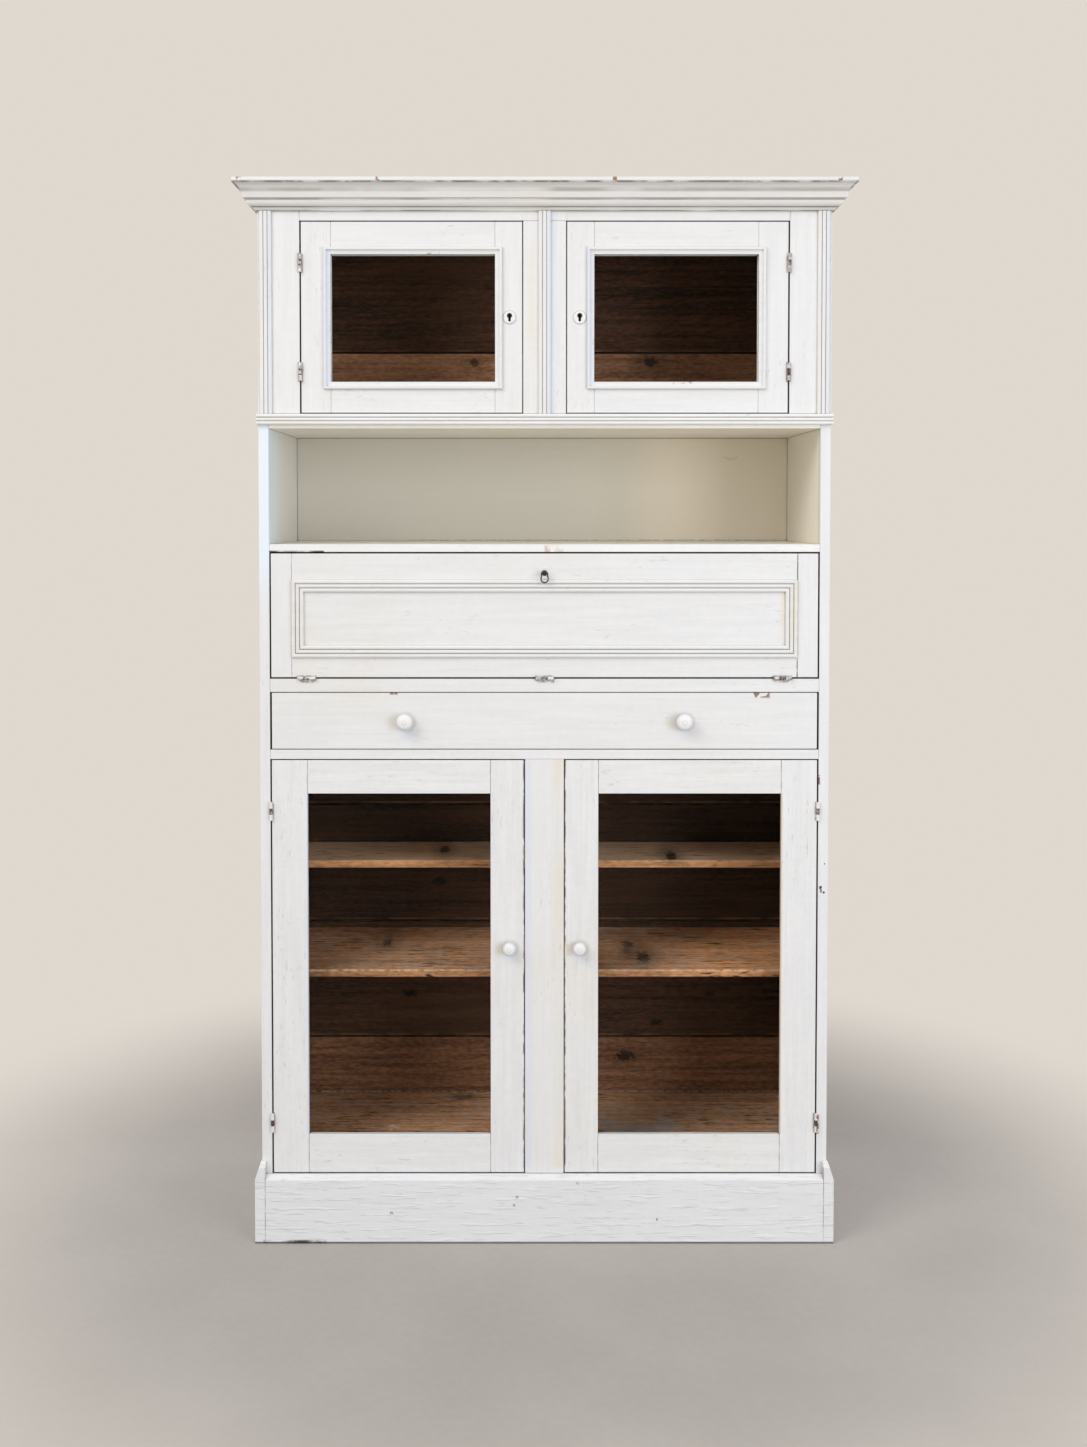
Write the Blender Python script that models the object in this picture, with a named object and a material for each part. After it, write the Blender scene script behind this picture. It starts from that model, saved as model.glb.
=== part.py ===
"""A painted pine kitchen cupboard, built as it would be made at the bench.

Two glazed doors above an open niche, a fall flap on sliding stays, a long drawer
and two tall glazed doors below, between a moulded cornice and a plinth.

Metres, +Z up, +X to the viewer's right; the front faces -Y. The origin is on the
floor under the middle of the cupboard's box.
"""

import math

import bmesh
import bpy
from mathutils import Matrix, Vector

MM = 0.001

# Clearances
SEAT = 0.3 * MM
DOOR_CLEARANCE = 2 * MM
HINGE_GAP = 3 * MM
FLAP_CLEARANCE = 3 * MM
DRAWER_CLEARANCE = 1.5 * MM
DRAWER_SIDE_CLEARANCE = 3.7 * MM
ARRIS = 0.8 * MM
CUT_OVERRUN = 5 * MM
SMOOTH_ANGLE = math.radians(35)

# Carcass
BODY_WIDTH = 1112 * MM
BODY_DEPTH = 395 * MM
SIDE_THICK = 20 * MM
FRAME_THICK = 22 * MM
BACK_THICK = 18 * MM
BACK_FOOT = 21 * MM
BEARER = 16 * MM

# Heights of the front, from the floor up
BASE_RAIL_FOOT = 60 * MM
BASE_RAIL_TOP = 133.5 * MM
LOWER_OPENING = 820.5 * MM
DRAWER_RAIL = 18.7 * MM
DRAWER_OPENING = 112.8 * MM
FLAP_RAIL = 26 * MM
FLAP_OPENING = 247.5 * MM
NICHE_SHELF = 15 * MM
NICHE_OPENING = 225 * MM
UPPER_FLOOR = 28 * MM
UPPER_OPENING = 372.6 * MM
TOP_RAIL = 68.4 * MM
TOP_BOARD = 7 * MM

# Inner boards
WELL_FLOOR = 18 * MM
WELL_FLOOR_LAP = 8 * MM
LOWER_FLOOR = 18 * MM
LOWER_FLOOR_LAP = 19.5 * MM
FULL_SHELF = 14.5 * MM
FULL_SHELF_RISE = 369 * MM
FULL_SHELF_SETBACK = 57 * MM
HALF_SHELF = 15.6 * MM
HALF_SHELF_RISE = 189.5 * MM
HALF_SHELF_SETBACK = 195 * MM

# Back boards
PLANK_WIDTH = 258 * MM
UPPER_PLANK_WIDTH = 157 * MM
NARROWEST_PLANK = 86 * MM
PLANK_GAP = 1.2 * MM
TONGUE_THICK = 6 * MM
TONGUE_WIDTH = 16 * MM

# Face frames
UPPER_STILE = 61.4 * MM
UPPER_MUNTIN = 83 * MM
LOWER_MUNTIN = 76 * MM
TENON_LENGTH = 28 * MM
TENON_THICK_SHARE = 0.36
TENON_WIDTH_SHARE = 0.6
RAIL_DEPTH = 45 * MM

# Reeded strips and waist moulding
STRIP_WIDTH = 24 * MM
STRIP_BACKING = 2.2 * MM
STRIP_REED_RISE = 3 * MM
STRIP_INSET = 4 * MM
REED_COUNT = 3
REED_STEPS = 5
WAIST_HEIGHT = 21 * MM
WAIST_BACKING = 5.5 * MM
WAIST_REED_RISE = 3.5 * MM
WAIST_OVERRUN = 3 * MM

# Cornice
CORNICE_REACH = 42 * MM
CORNICE_HEIGHT = 50 * MM
CURVE_STEPS = 5

# Plinth
PLINTH_PROUD = 15 * MM
PLINTH_CHAMFER_RUN = 12 * MM
PLINTH_CHAMFER_DROP = 8 * MM
SKIRT_THICK = 12 * MM
SKIRT_HEIGHT = 159 * MM
SKIRT_BEVEL = 32 * MM
SKIRT_EDGE = 1.5 * MM
SKIRT_RETURN = 8 * MM

# Upper doors
UPPER_HANGING_STILE = 57.3 * MM
UPPER_MEETING_STILE = 52.5 * MM
UPPER_DOOR_TOP_RAIL = 62.6 * MM
UPPER_DOOR_BOTTOM_RAIL = 60 * MM
UPPER_HINGE_INSET = 61 * MM
SASH_REBATE = 6 * MM
SASH_WIDTH = 14 * MM
SASH_PROUD = 6 * MM
SASH_FILLET = 1.6 * MM
GLASS_THICK = 3 * MM

# Lower doors
LOWER_HANGING_STILE = 69.7 * MM
LOWER_MEETING_STILE = 65.5 * MM
LOWER_DOOR_TOP_RAIL = 65.7 * MM
LOWER_DOOR_BOTTOM_RAIL = 76 * MM
LOWER_HINGE_INSET = 82 * MM
GLAZING_REBATE = 8 * MM
GLAZING_REBATE_DEPTH = 12 * MM
BEAD_WIDTH = 7.4 * MM

# Hinges
HINGE_LENGTH = 36 * MM
HINGE_BARREL = 3.2 * MM
HINGE_STAND = 3.7 * MM
HINGE_BORE = 1.8 * MM
HINGE_PIN = 1.5 * MM
HINGE_LEAF = 1.05 * MM
HINGE_LEAF_DEPTH = 17 * MM
HINGE_BITE = 1.3 * MM
HINGE_TAB = 1 * MM
HINGE_SEGMENTS = 12

# Upper door locks
LOCK_INSET = 24.5 * MM
LOCK_WIDTH = 36 * MM
LOCK_HEIGHT = 52 * MM
LOCK_DEPTH = 10 * MM
LOCK_SETBACK = 1.5 * MM
BOLT_LENGTH = 24 * MM
BOLT_WIDTH = 14 * MM
BOLT_THICK = 4 * MM
ESCUTCHEON_DIAMETER = 24 * MM
ESCUTCHEON_THICK = 1.6 * MM
KEYHOLE_DIAMETER = 6.6 * MM
KEYHOLE_HEIGHT = 15 * MM
KEYHOLE_SLOT = 3.4 * MM
KEYHOLE_STEPS = 10

# Knobs and latches
DOOR_KNOB_DIAMETER = 27 * MM
DOOR_KNOB_LENGTH = 24 * MM
DRAWER_KNOB_DIAMETER = 33 * MM
DRAWER_KNOB_LENGTH = 28 * MM
DRAWER_KNOB_SPACING = 544 * MM
KNOB_TENON = 5 * MM
KNOB_SEGMENTS = 24
LATCH_RISE = 448.5 * MM
LATCH_INSET = 29 * MM
LATCH_REACH = 44 * MM
LATCH_WIDTH = 15 * MM
LATCH_THICK = 3 * MM
SPINDLE = 2.4 * MM
SPINDLE_BORE = 2.7 * MM
SPINDLE_SOCKET = 12 * MM
WASHER = 1.2 * MM

# Fall flap
CLAMP_WIDTH = 40 * MM
FLAP_SIDE_CLEARANCE = 3 * MM
FLAP_RING_WIDTH = 24 * MM
FLAP_RING_BACKING = 2.5 * MM
FLAP_RING_REED_RISE = 3.2 * MM
FLAP_RING_DROP = 51 * MM
FLAP_RING_HEIGHT = 152 * MM
FLAP_HINGE_SPREAD = 464 * MM
FLAP_LOCK_DROP = 38 * MM
FLAP_LOCK_WIDTH = 70 * MM
FLAP_LOCK_HEIGHT = 48 * MM
FLAP_LOCK_DEPTH = 12 * MM
FLAP_LOCK_TOP_DROP = 3 * MM
FLAP_BOLT_WIDTH = 26 * MM
FLAP_BOLT_THICK = 5 * MM
FLAP_BOLT_LENGTH = 30 * MM
STRIKE_DEPTH = 9 * MM
STRIKE_CLEARANCE = 0.9 * MM

# Key
KEY_SHAFT = 2.6 * MM
KEY_SLEEVE = 3.1 * MM
KEY_COLLAR = 5.2 * MM
KEY_COLLAR_THICK = 2.4 * MM
KEY_REACH = 15 * MM
KEY_HEAD = 4.6 * MM
KEY_HEAD_LENGTH = 6 * MM
KEY_EYE = 1.7 * MM
BOW_WIRE = 1.25 * MM
BOW_TOP_WIDTH = 11.6 * MM
BOW_WIDTH = 14 * MM
BOW_LENGTH = 18 * MM
BOW_STEPS = 20
BOW_START_ANGLE = math.radians(25)
BOW_SWEEP = math.radians(230)
BOW_SHARPEST = math.radians(50)

# Flap stays: the pivots on flap and side lie at one radius from the flap's hinge
STAY_RADIUS = 150 * MM
STAY_CLEARANCE = 1.2 * MM
STAY_SIDE_ANGLE = math.radians(40)
STAY_BAR_WIDTH = 11 * MM
STAY_BAR_THICK = 3 * MM
STAY_END = 7.5 * MM
STAY_PIN = 2.5 * MM
STAY_LINE = 10.5 * MM
STAY_STOP = 4.2 * MM
STAY_STOP_LENGTH = 4 * MM
GUIDE_LENGTH = 14 * MM
GUIDE_WALL = 2 * MM
GUIDE_CLEARANCE = 0.4 * MM
STAY_OPEN_ANGLE = math.radians(90)
BRACKET_HEIGHT = 22 * MM
BRACKET_THICK = 3 * MM
BRACKET_FOOT = 2 * MM

# Drawer
DRAWER_SIDE = 12 * MM
DRAWER_SIDE_HEIGHT = 92 * MM
DRAWER_REAR_SPACE = 32 * MM
DRAWER_BACK = 12 * MM
DRAWER_BOTTOM = 6 * MM
DRAWER_BOTTOM_RISE = 9 * MM
GROOVE_DEPTH = 5 * MM
TAIL_COUNT = 3
TAIL_LENGTH = 15 * MM
TAIL_FLARE = 3 * MM
TAIL_ROOT_SHARE = 0.56
RUNNER_WIDTH = 30 * MM

# Levels, worked out from the heights above
DRAWER_RAIL_Z = BASE_RAIL_TOP + LOWER_OPENING
DRAWER_Z = DRAWER_RAIL_Z + DRAWER_RAIL
FLAP_RAIL_Z = DRAWER_Z + DRAWER_OPENING
FLAP_Z = FLAP_RAIL_Z + FLAP_RAIL
NICHE_SHELF_Z = FLAP_Z + FLAP_OPENING
NICHE_Z = NICHE_SHELF_Z + NICHE_SHELF
UPPER_FLOOR_Z = NICHE_Z + NICHE_OPENING
UPPER_Z = UPPER_FLOOR_Z + UPPER_FLOOR
TOP_RAIL_Z = UPPER_Z + UPPER_OPENING
TOP_BOARD_Z = TOP_RAIL_Z + TOP_RAIL
HEIGHT = TOP_BOARD_Z + TOP_BOARD
CORNICE_Z = TOP_BOARD_Z - CORNICE_HEIGHT
LOWER_FLOOR_TOP = BASE_RAIL_TOP + LOWER_FLOOR_LAP
FULL_SHELF_TOP = LOWER_FLOOR_TOP + FULL_SHELF_RISE
HALF_SHELF_TOP = FULL_SHELF_TOP + HALF_SHELF_RISE
WELL_FLOOR_TOP = FLAP_Z + WELL_FLOOR_LAP

# Places across and into the cupboard
HALF_WIDTH = BODY_WIDTH / 2
INNER_HALF = HALF_WIDTH - SIDE_THICK
FACE_Y = (CORNICE_REACH - BODY_DEPTH) / 2
BACK_Y = FACE_Y + BODY_DEPTH
PLANK_Y = BACK_Y - BACK_THICK
REAR_OF_FRAME_Y = FACE_Y + FRAME_THICK
AXIS_Y = FACE_Y - HINGE_STAND
UPPER_JAMB = INNER_HALF - UPPER_STILE
FLAP_AXIS_Z = FLAP_Z + HINGE_GAP / 2
KEY_Z = NICHE_SHELF_Z - FLAP_CLEARANCE - FLAP_LOCK_DROP
STAY_FLAP_ANGLE = math.asin(
    (HINGE_STAND + FRAME_THICK + STAY_CLEARANCE + STAY_END) / STAY_RADIUS
)

LEFT = -1
RIGHT = 1
SIDES = (("left", LEFT), ("right", RIGHT))


# Materials

FINISHES = {
    "white_paint": ((0.80, 0.79, 0.75), 0.42, 0.0),
    "cream_paint": ((0.78, 0.72, 0.58), 0.5, 0.0),
    "raw_pine": ((0.42, 0.20, 0.075), 0.6, 0.0),
    "pale_pine": ((0.62, 0.42, 0.22), 0.6, 0.0),
    "iron": ((0.06, 0.055, 0.05), 0.45, 0.9),
    "glass": ((0.85, 0.9, 0.88), 0.03, 0.0),
}


def make_material(name):
    """Returns the Principled material of a named finish."""
    colour, roughness, metallic = FINISHES[name]
    material = bpy.data.materials.new(name)
    material.use_nodes = True
    shader = material.node_tree.nodes["Principled BSDF"]
    shader.inputs["Base Color"].default_value = (*colour, 1.0)
    shader.inputs["Roughness"].default_value = roughness
    shader.inputs["Metallic"].default_value = metallic
    if name == "glass":
        shader.inputs["Transmission Weight"].default_value = 1.0
    return material


# Shapes

def block(low, high, arris=0.0):
    """A board between two corners, its edges eased by a small chamfer."""
    bm = bmesh.new()
    bmesh.ops.create_cube(bm, size=1.0)
    low, high = Vector(low), Vector(high)
    bmesh.ops.transform(
        bm,
        matrix=Matrix.Translation((low + high) / 2) @ Matrix.Diagonal((*(high - low), 1.0)),
        verts=bm.verts,
    )
    if arris:
        bmesh.ops.bevel(bm, geom=bm.edges[:], offset=arris, segments=1, affect="EDGES")
    return bm


def prism(outline, along):
    """An outline of points in space, extruded along a vector."""
    bm = bmesh.new()
    face = bm.faces.new([bm.verts.new(point) for point in outline])
    grown = bmesh.ops.extrude_face_region(bm, geom=[face])["geom"]
    moved = [item for item in grown if isinstance(item, bmesh.types.BMVert)]
    bmesh.ops.translate(bm, vec=Vector(along), verts=moved)
    bmesh.ops.recalc_face_normals(bm, faces=bm.faces)
    return bm


def swept(sections, closed=False):
    """A body through sections of equally many points; closed joins the last to the first."""
    bm = bmesh.new()
    rings = [[bm.verts.new(point) for point in section] for section in sections]
    count = len(rings[0])
    pairs = list(zip(rings, rings[1:]))
    if closed:
        pairs.append((rings[-1], rings[0]))
    else:
        bm.faces.new(rings[0])
        bm.faces.new(rings[-1])
    for first, second in pairs:
        for i in range(count):
            j = (i + 1) % count
            bm.faces.new((first[i], first[j], second[j], second[i]))
    bmesh.ops.recalc_face_normals(bm, faces=bm.faces)
    return bm


def turned(profile, centre, along, segments):
    """A turned body: profile gives (distance along the axis, radius) from end to end."""
    bm = bmesh.new()
    verts = [bm.verts.new((radius, 0.0, height)) for height, radius in profile]
    edges = [bm.edges.new(pair) for pair in zip(verts, verts[1:])]
    bmesh.ops.spin(
        bm,
        geom=verts + edges,
        cent=(0.0, 0.0, 0.0),
        axis=(0.0, 0.0, 1.0),
        angle=math.tau,
        steps=segments,
        use_merge=True,
    )
    bmesh.ops.remove_doubles(bm, verts=bm.verts, dist=SEAT / 100)
    bmesh.ops.holes_fill(bm, edges=[edge for edge in bm.edges if edge.is_boundary])
    bmesh.ops.recalc_face_normals(bm, faces=bm.faces)
    turn = Vector((0.0, 0.0, 1.0)).rotation_difference(Vector(along)).to_matrix().to_4x4()
    bmesh.ops.transform(bm, matrix=Matrix.Translation(centre) @ turn, verts=bm.verts)
    return bm


def drum(start, along, radius, length, segments=HINGE_SEGMENTS):
    """A plain cylinder from a point, along a unit vector."""
    return turned(((0.0, radius), (length, radius)), start, along, segments)


def quarter(start, end, across_first=False, steps=CURVE_STEPS):
    """A quarter ellipse between two profile points, without the first point.

    It sets out along the profile's second axis, or along its first if across_first.
    """
    points = []
    for i in range(1, steps + 1):
        turn = math.pi / 2 * i / steps
        early, late = math.sin(turn), 1 - math.cos(turn)
        shares = (early, late) if across_first else (late, early)
        points.append(tuple(a + (b - a) * share for a, b, share in zip(start, end, shares)))
    return points


def reeded_profile(width, backing, rise, count=REED_COUNT):
    """Points (across, proud) of a flat strip with half-round reeds side by side."""
    points = [(0.0, 0.0), (0.0, backing)]
    reed = width / count
    for i in range(count):
        for step in range(1, REED_STEPS + 1):
            turn = math.pi * step / REED_STEPS
            across = reed * (i + (1 - math.cos(turn)) / 2)
            points.append((across, backing + rise * math.sin(turn)))
    points.append((width, 0.0))
    return points


# Joining and cutting

def as_object(bm, name="shape"):
    """Turns a bmesh into an object in the scene."""
    mesh = bpy.data.meshes.new(name)
    bm.to_mesh(mesh)
    bm.free()
    made = bpy.data.objects.new(name, mesh)
    bpy.context.scene.collection.objects.link(made)
    return made


def boolean(base, tools, operation):
    """Joins or cuts closed shapes with exact booleans and returns the result."""
    target = as_object(base)
    helpers = [as_object(tool) for tool in tools]
    for helper in helpers:
        step = target.modifiers.new("step", "BOOLEAN")
        step.operation = operation
        step.object = helper
    graph = bpy.context.evaluated_depsgraph_get()
    mesh = bpy.data.meshes.new_from_object(target.evaluated_get(graph))
    result = bmesh.new()
    result.from_mesh(mesh)
    bpy.data.meshes.remove(mesh)
    for used in [target, *helpers]:
        shape = used.data
        bpy.data.objects.remove(used)
        bpy.data.meshes.remove(shape)
    return result


def join(*shapes):
    """One body from overlapping shapes."""
    return boolean(shapes[0], shapes[1:], "UNION")


def cut(base, *cutters):
    """A body with the cutters taken out."""
    return boolean(base, cutters, "DIFFERENCE")


# Pieces and what carries them

def carrier(name, place):
    """An empty on a joint's axis, which carries the pieces that move together."""
    empty = bpy.data.objects.new(name, None)
    empty.empty_display_size = HINGE_LENGTH
    empty.location = place
    bpy.context.scene.collection.objects.link(empty)
    return empty


def piece(name, bm, finish, carried_by=None, smooth=False):
    """Adds a finished piece to the scene and hangs it on its carrier."""
    made = as_object(bm, name)
    made.data.materials.append(bpy.data.materials[finish])
    if smooth:
        made.data.shade_smooth()
        made.data.set_sharp_from_angle(angle=SMOOTH_ANGLE)
    if carried_by:
        made.parent = carried_by
        made.matrix_parent_inverse = Matrix.Translation(carried_by.location).inverted()
    return made


def span(side, near, far):
    """The lower and higher X of a stretch that lies on one side of the middle."""
    return tuple(sorted((side * near, side * far)))


def hinge_leaf(x0, x1, tabs):
    """A flat leaf with tabs that reach into its knuckles, in the hinge's own frame."""
    front, rear = HINGE_STAND + HINGE_TAB, HINGE_STAND + HINGE_LEAF_DEPTH
    tip = (HINGE_BORE + HINGE_BARREL) / 2
    outline = [(rear, 0.0), (rear, HINGE_LENGTH), (front, HINGE_LENGTH)]
    for foot, head in reversed(tabs):
        outline += [(front, head), (tip, head), (tip, foot), (front, foot)]
    outline.append((front, 0.0))
    return prism([(x0, y, z) for y, z in outline], (x1 - x0, 0.0, 0.0))


def hinge(place):
    """The two halves of a butt hinge: the fixed leaf with its pin, and the moving leaf.

    place turns the hinge's own frame into the cupboard's. In its own frame the pin
    runs up Z from the origin, the moving piece lies at +X and the depth is +Y.
    """
    knuckle = HINGE_LENGTH / 3
    half_gap = HINGE_GAP / 2
    pin = turned(
        (
            (0.0, HINGE_BARREL),
            (knuckle, HINGE_BARREL),
            (knuckle, HINGE_PIN),
            (2 * knuckle, HINGE_PIN),
            (2 * knuckle, HINGE_BARREL),
            (HINGE_LENGTH, HINGE_BARREL),
        ),
        (0.0, 0.0, 0.0),
        (0.0, 0.0, 1.0),
        HINGE_SEGMENTS,
    )
    inner, outer = HINGE_LEAF - half_gap, -half_gap - HINGE_BITE
    ends = ((SEAT, knuckle - SEAT), (2 * knuckle + SEAT, HINGE_LENGTH - SEAT))
    middle = ((knuckle + 2 * SEAT, 2 * knuckle - 2 * SEAT),)
    ring = cut(
        drum((0.0, 0.0, knuckle + SEAT), (0.0, 0.0, 1.0), HINGE_BARREL, knuckle - 2 * SEAT),
        drum(
            (0.0, 0.0, knuckle - CUT_OVERRUN),
            (0.0, 0.0, 1.0),
            HINGE_BORE,
            knuckle + 2 * CUT_OVERRUN,
        ),
    )
    fixed = [pin, hinge_leaf(inner, outer, ends)]
    moving = [ring, hinge_leaf(-inner, -outer, middle)]
    for shape in fixed + moving:
        bmesh.ops.transform(shape, matrix=place, verts=shape.verts)
    return fixed, moving


def upright_hinge(side, x, z):
    """A door hinge with its pin from z upwards; the door lies towards the middle."""
    if side == LEFT:
        return hinge(Matrix.Translation((x, AXIS_Y, z)))
    turn = Matrix.Rotation(math.pi, 4, "Y")
    return hinge(Matrix.Translation((x, AXIS_Y, z + HINGE_LENGTH)) @ turn)


def flap_hinge(x):
    """A hinge of the flap, its pin lying along X about the given middle."""
    turn = Matrix(((0, 0, -1, 0), (0, 1, 0, 0), (1, 0, 0, 0), (0, 0, 0, 1)))
    return hinge(Matrix.Translation((x + HINGE_LENGTH / 2, AXIS_Y, FLAP_AXIS_Z)) @ turn)


def tenon(centre, along_x, width):
    """The tenon that carries a rail into a stile; it lies hidden inside both."""
    across = width * TENON_WIDTH_SHARE / 2
    cheek = FRAME_THICK * TENON_THICK_SHARE / 2
    reach = Vector((TENON_LENGTH, cheek, across) if along_x else (across, cheek, TENON_LENGTH))
    centre = Vector(centre)
    return block(centre - reach, centre + reach)


def boards_across(low, high, joints):
    """Wide boards, one above another, with open joints over hidden tongues, as one body."""
    shapes = []
    levels = [low[2], *joints, high[2]]
    for bottom, top in zip(levels, levels[1:]):
        foot = bottom + (PLANK_GAP / 2 if bottom in joints else 0.0)
        head = top - (PLANK_GAP / 2 if top in joints else 0.0)
        shapes.append(block((low[0], low[1], foot), (high[0], high[1], head), ARRIS))
    middle = (low[1] + high[1]) / 2
    for level in joints:
        shapes.append(
            block(
                (low[0] + ARRIS, middle - TONGUE_THICK / 2, level - TONGUE_WIDTH / 2),
                (high[0] - ARRIS, middle + TONGUE_THICK / 2, level + TONGUE_WIDTH / 2),
            )
        )
    return join(*shapes)


# Carcass

def door_hinge_levels(opening_z, opening, inset):
    """The lower ends of a door's two hinges."""
    foot = opening_z + DOOR_CLEARANCE
    head = opening_z + opening - DOOR_CLEARANCE
    return foot + inset, head - inset - HINGE_LENGTH


def make_side_panels():
    """The two sides, with the bearers of the boards and the lower doors' fixed leaves."""
    hinge_x = INNER_HALF - HINGE_GAP / 2
    for word, side in SIDES:
        x0, x1 = span(side, INNER_HALF, HALF_WIDTH)
        shapes = [block((x0, FACE_Y, 0.0), (x1, BACK_Y, TOP_BOARD_Z - SEAT), ARRIS)]
        b0, b1 = span(side, INNER_HALF - BEARER, INNER_HALF + BEARER / 2)
        bearers = (
            (LOWER_FLOOR_TOP - LOWER_FLOOR, REAR_OF_FRAME_Y + SEAT),
            (FULL_SHELF_TOP - FULL_SHELF, FACE_Y + FULL_SHELF_SETBACK),
            (HALF_SHELF_TOP - HALF_SHELF, FACE_Y + HALF_SHELF_SETBACK),
        )
        for under, front in bearers:
            head = under - SEAT
            shapes.append(
                block((b0, front + BEARER, head - BEARER), (b1, PLANK_Y - SEAT, head), ARRIS)
            )
        for z in door_hinge_levels(BASE_RAIL_TOP, LOWER_OPENING, LOWER_HINGE_INSET):
            shapes.extend(upright_hinge(side, side * hinge_x, z)[0])
        piece(f"side_panel_{word}", join(*shapes), "raw_pine")


def make_upper_face_frame():
    """Stiles, top rail and muntin of the upper cabinet, with the doors' fixed leaves."""
    y0, y1 = FACE_Y, REAR_OF_FRAME_Y
    foot, head = UPPER_Z + SEAT, TOP_BOARD_Z - SEAT
    outer = INNER_HALF - SEAT
    half_muntin = UPPER_MUNTIN / 2
    middle = (y0 + y1) / 2
    rail_ends = UPPER_JAMB - SEAT
    shapes = [block((-rail_ends, y0, TOP_RAIL_Z), (rail_ends, y1, head), ARRIS)]
    shapes.append(
        block((-half_muntin, y0, foot), (half_muntin, y1, TOP_RAIL_Z - SEAT), ARRIS)
    )
    shapes.append(tenon((0.0, middle, TOP_RAIL_Z), False, UPPER_MUNTIN))
    rail_middle = (TOP_RAIL_Z + head) / 2
    for _, side in SIDES:
        x0, x1 = span(side, UPPER_JAMB, outer)
        shapes.append(block((x0, y0, foot), (x1, y1, head), ARRIS))
        shapes.append(tenon((side * UPPER_JAMB, middle, rail_middle), True, head - TOP_RAIL_Z))
        for z in door_hinge_levels(UPPER_Z, UPPER_OPENING, UPPER_HINGE_INSET):
            hinge_x = UPPER_JAMB - HINGE_GAP / 2
            shapes.extend(upright_hinge(side, side * hinge_x, z)[0])
    piece("upper_face_frame", join(*shapes), "white_paint")


def make_lower_face_frame():
    """The base rail behind the plinth and the muntin between the lower doors."""
    y0, y1 = FACE_Y, REAR_OF_FRAME_Y
    half_muntin = LOWER_MUNTIN / 2
    outer = INNER_HALF - SEAT
    rail = block((-outer, y0, BASE_RAIL_FOOT), (outer, y1, BASE_RAIL_TOP), ARRIS)
    muntin = block(
        (-half_muntin, y0, BASE_RAIL_TOP + SEAT),
        (half_muntin, y1, DRAWER_RAIL_Z - SEAT),
        ARRIS,
    )
    join_z = (0.0, (y0 + y1) / 2, BASE_RAIL_TOP)
    piece(
        "lower_face_frame",
        join(rail, muntin, tenon(join_z, False, LOWER_MUNTIN)),
        "white_paint",
    )


def make_front_rails():
    """The rail under the flap, with the flap's fixed leaves, and the rail under the drawer."""
    outer = INNER_HALF - SEAT
    rail = block((-outer, FACE_Y, FLAP_RAIL_Z), (outer, FACE_Y + RAIL_DEPTH, FLAP_Z), ARRIS)
    lap = block(
        (-outer - CUT_OVERRUN, REAR_OF_FRAME_Y, WELL_FLOOR_TOP - WELL_FLOOR - SEAT),
        (outer + CUT_OVERRUN, FACE_Y + RAIL_DEPTH + CUT_OVERRUN, FLAP_Z + CUT_OVERRUN),
    )
    rail = cut(rail, lap)
    leaves = []
    for x in flap_hinge_places():
        leaves.extend(flap_hinge(x)[0])
    piece("flap_rail", join(rail, *leaves), "white_paint")
    piece(
        "drawer_rail",
        block(
            (-outer, FACE_Y, DRAWER_RAIL_Z),
            (outer, FACE_Y + RAIL_DEPTH, DRAWER_Z),
            ARRIS,
        ),
        "white_paint",
    )


def flap_hinge_places():
    """The middles of the flap's three hinges."""
    return (-FLAP_HINGE_SPREAD, 0.0, FLAP_HINGE_SPREAD)


def make_boards():
    """The floors and shelves between the sides."""
    outer = INNER_HALF - SEAT
    rear = PLANK_Y - SEAT

    def board(name, finish, front, top, thick):
        piece(name, block((-outer, front, top - thick), (outer, rear, top), ARRIS), finish)

    board("upper_floor", "raw_pine", FACE_Y, UPPER_Z, UPPER_FLOOR)
    board("well_floor", "raw_pine", REAR_OF_FRAME_Y + SEAT, WELL_FLOOR_TOP, WELL_FLOOR)
    board("lower_floor", "raw_pine", REAR_OF_FRAME_Y + SEAT, LOWER_FLOOR_TOP, LOWER_FLOOR)
    board("full_shelf", "raw_pine", FACE_Y + FULL_SHELF_SETBACK, FULL_SHELF_TOP, FULL_SHELF)
    board("half_shelf", "raw_pine", FACE_Y + HALF_SHELF_SETBACK, HALF_SHELF_TOP, HALF_SHELF)
    shelf = block((-outer, FACE_Y, NICHE_SHELF_Z), (outer, rear, NICHE_Z), ARRIS)
    bolt_y = flap_bolt_y()
    half_strike = FLAP_BOLT_WIDTH / 2 + STRIKE_CLEARANCE
    strike = block(
        (-half_strike, bolt_y[0] - STRIKE_CLEARANCE, NICHE_SHELF_Z - CUT_OVERRUN),
        (half_strike, bolt_y[1] + STRIKE_CLEARANCE, NICHE_SHELF_Z + STRIKE_DEPTH),
    )
    piece("niche_shelf", cut(shelf, strike), "cream_paint")
    for word, side in SIDES:
        x0, x1 = span(side, INNER_HALF - SEAT - RUNNER_WIDTH, INNER_HALF - SEAT)
        runner = block(
            (x0, FACE_Y + RAIL_DEPTH + SEAT, DRAWER_RAIL_Z), (x1, rear, DRAWER_Z), ARRIS
        )
        piece(f"drawer_runner_{word}", runner, "raw_pine")


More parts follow.
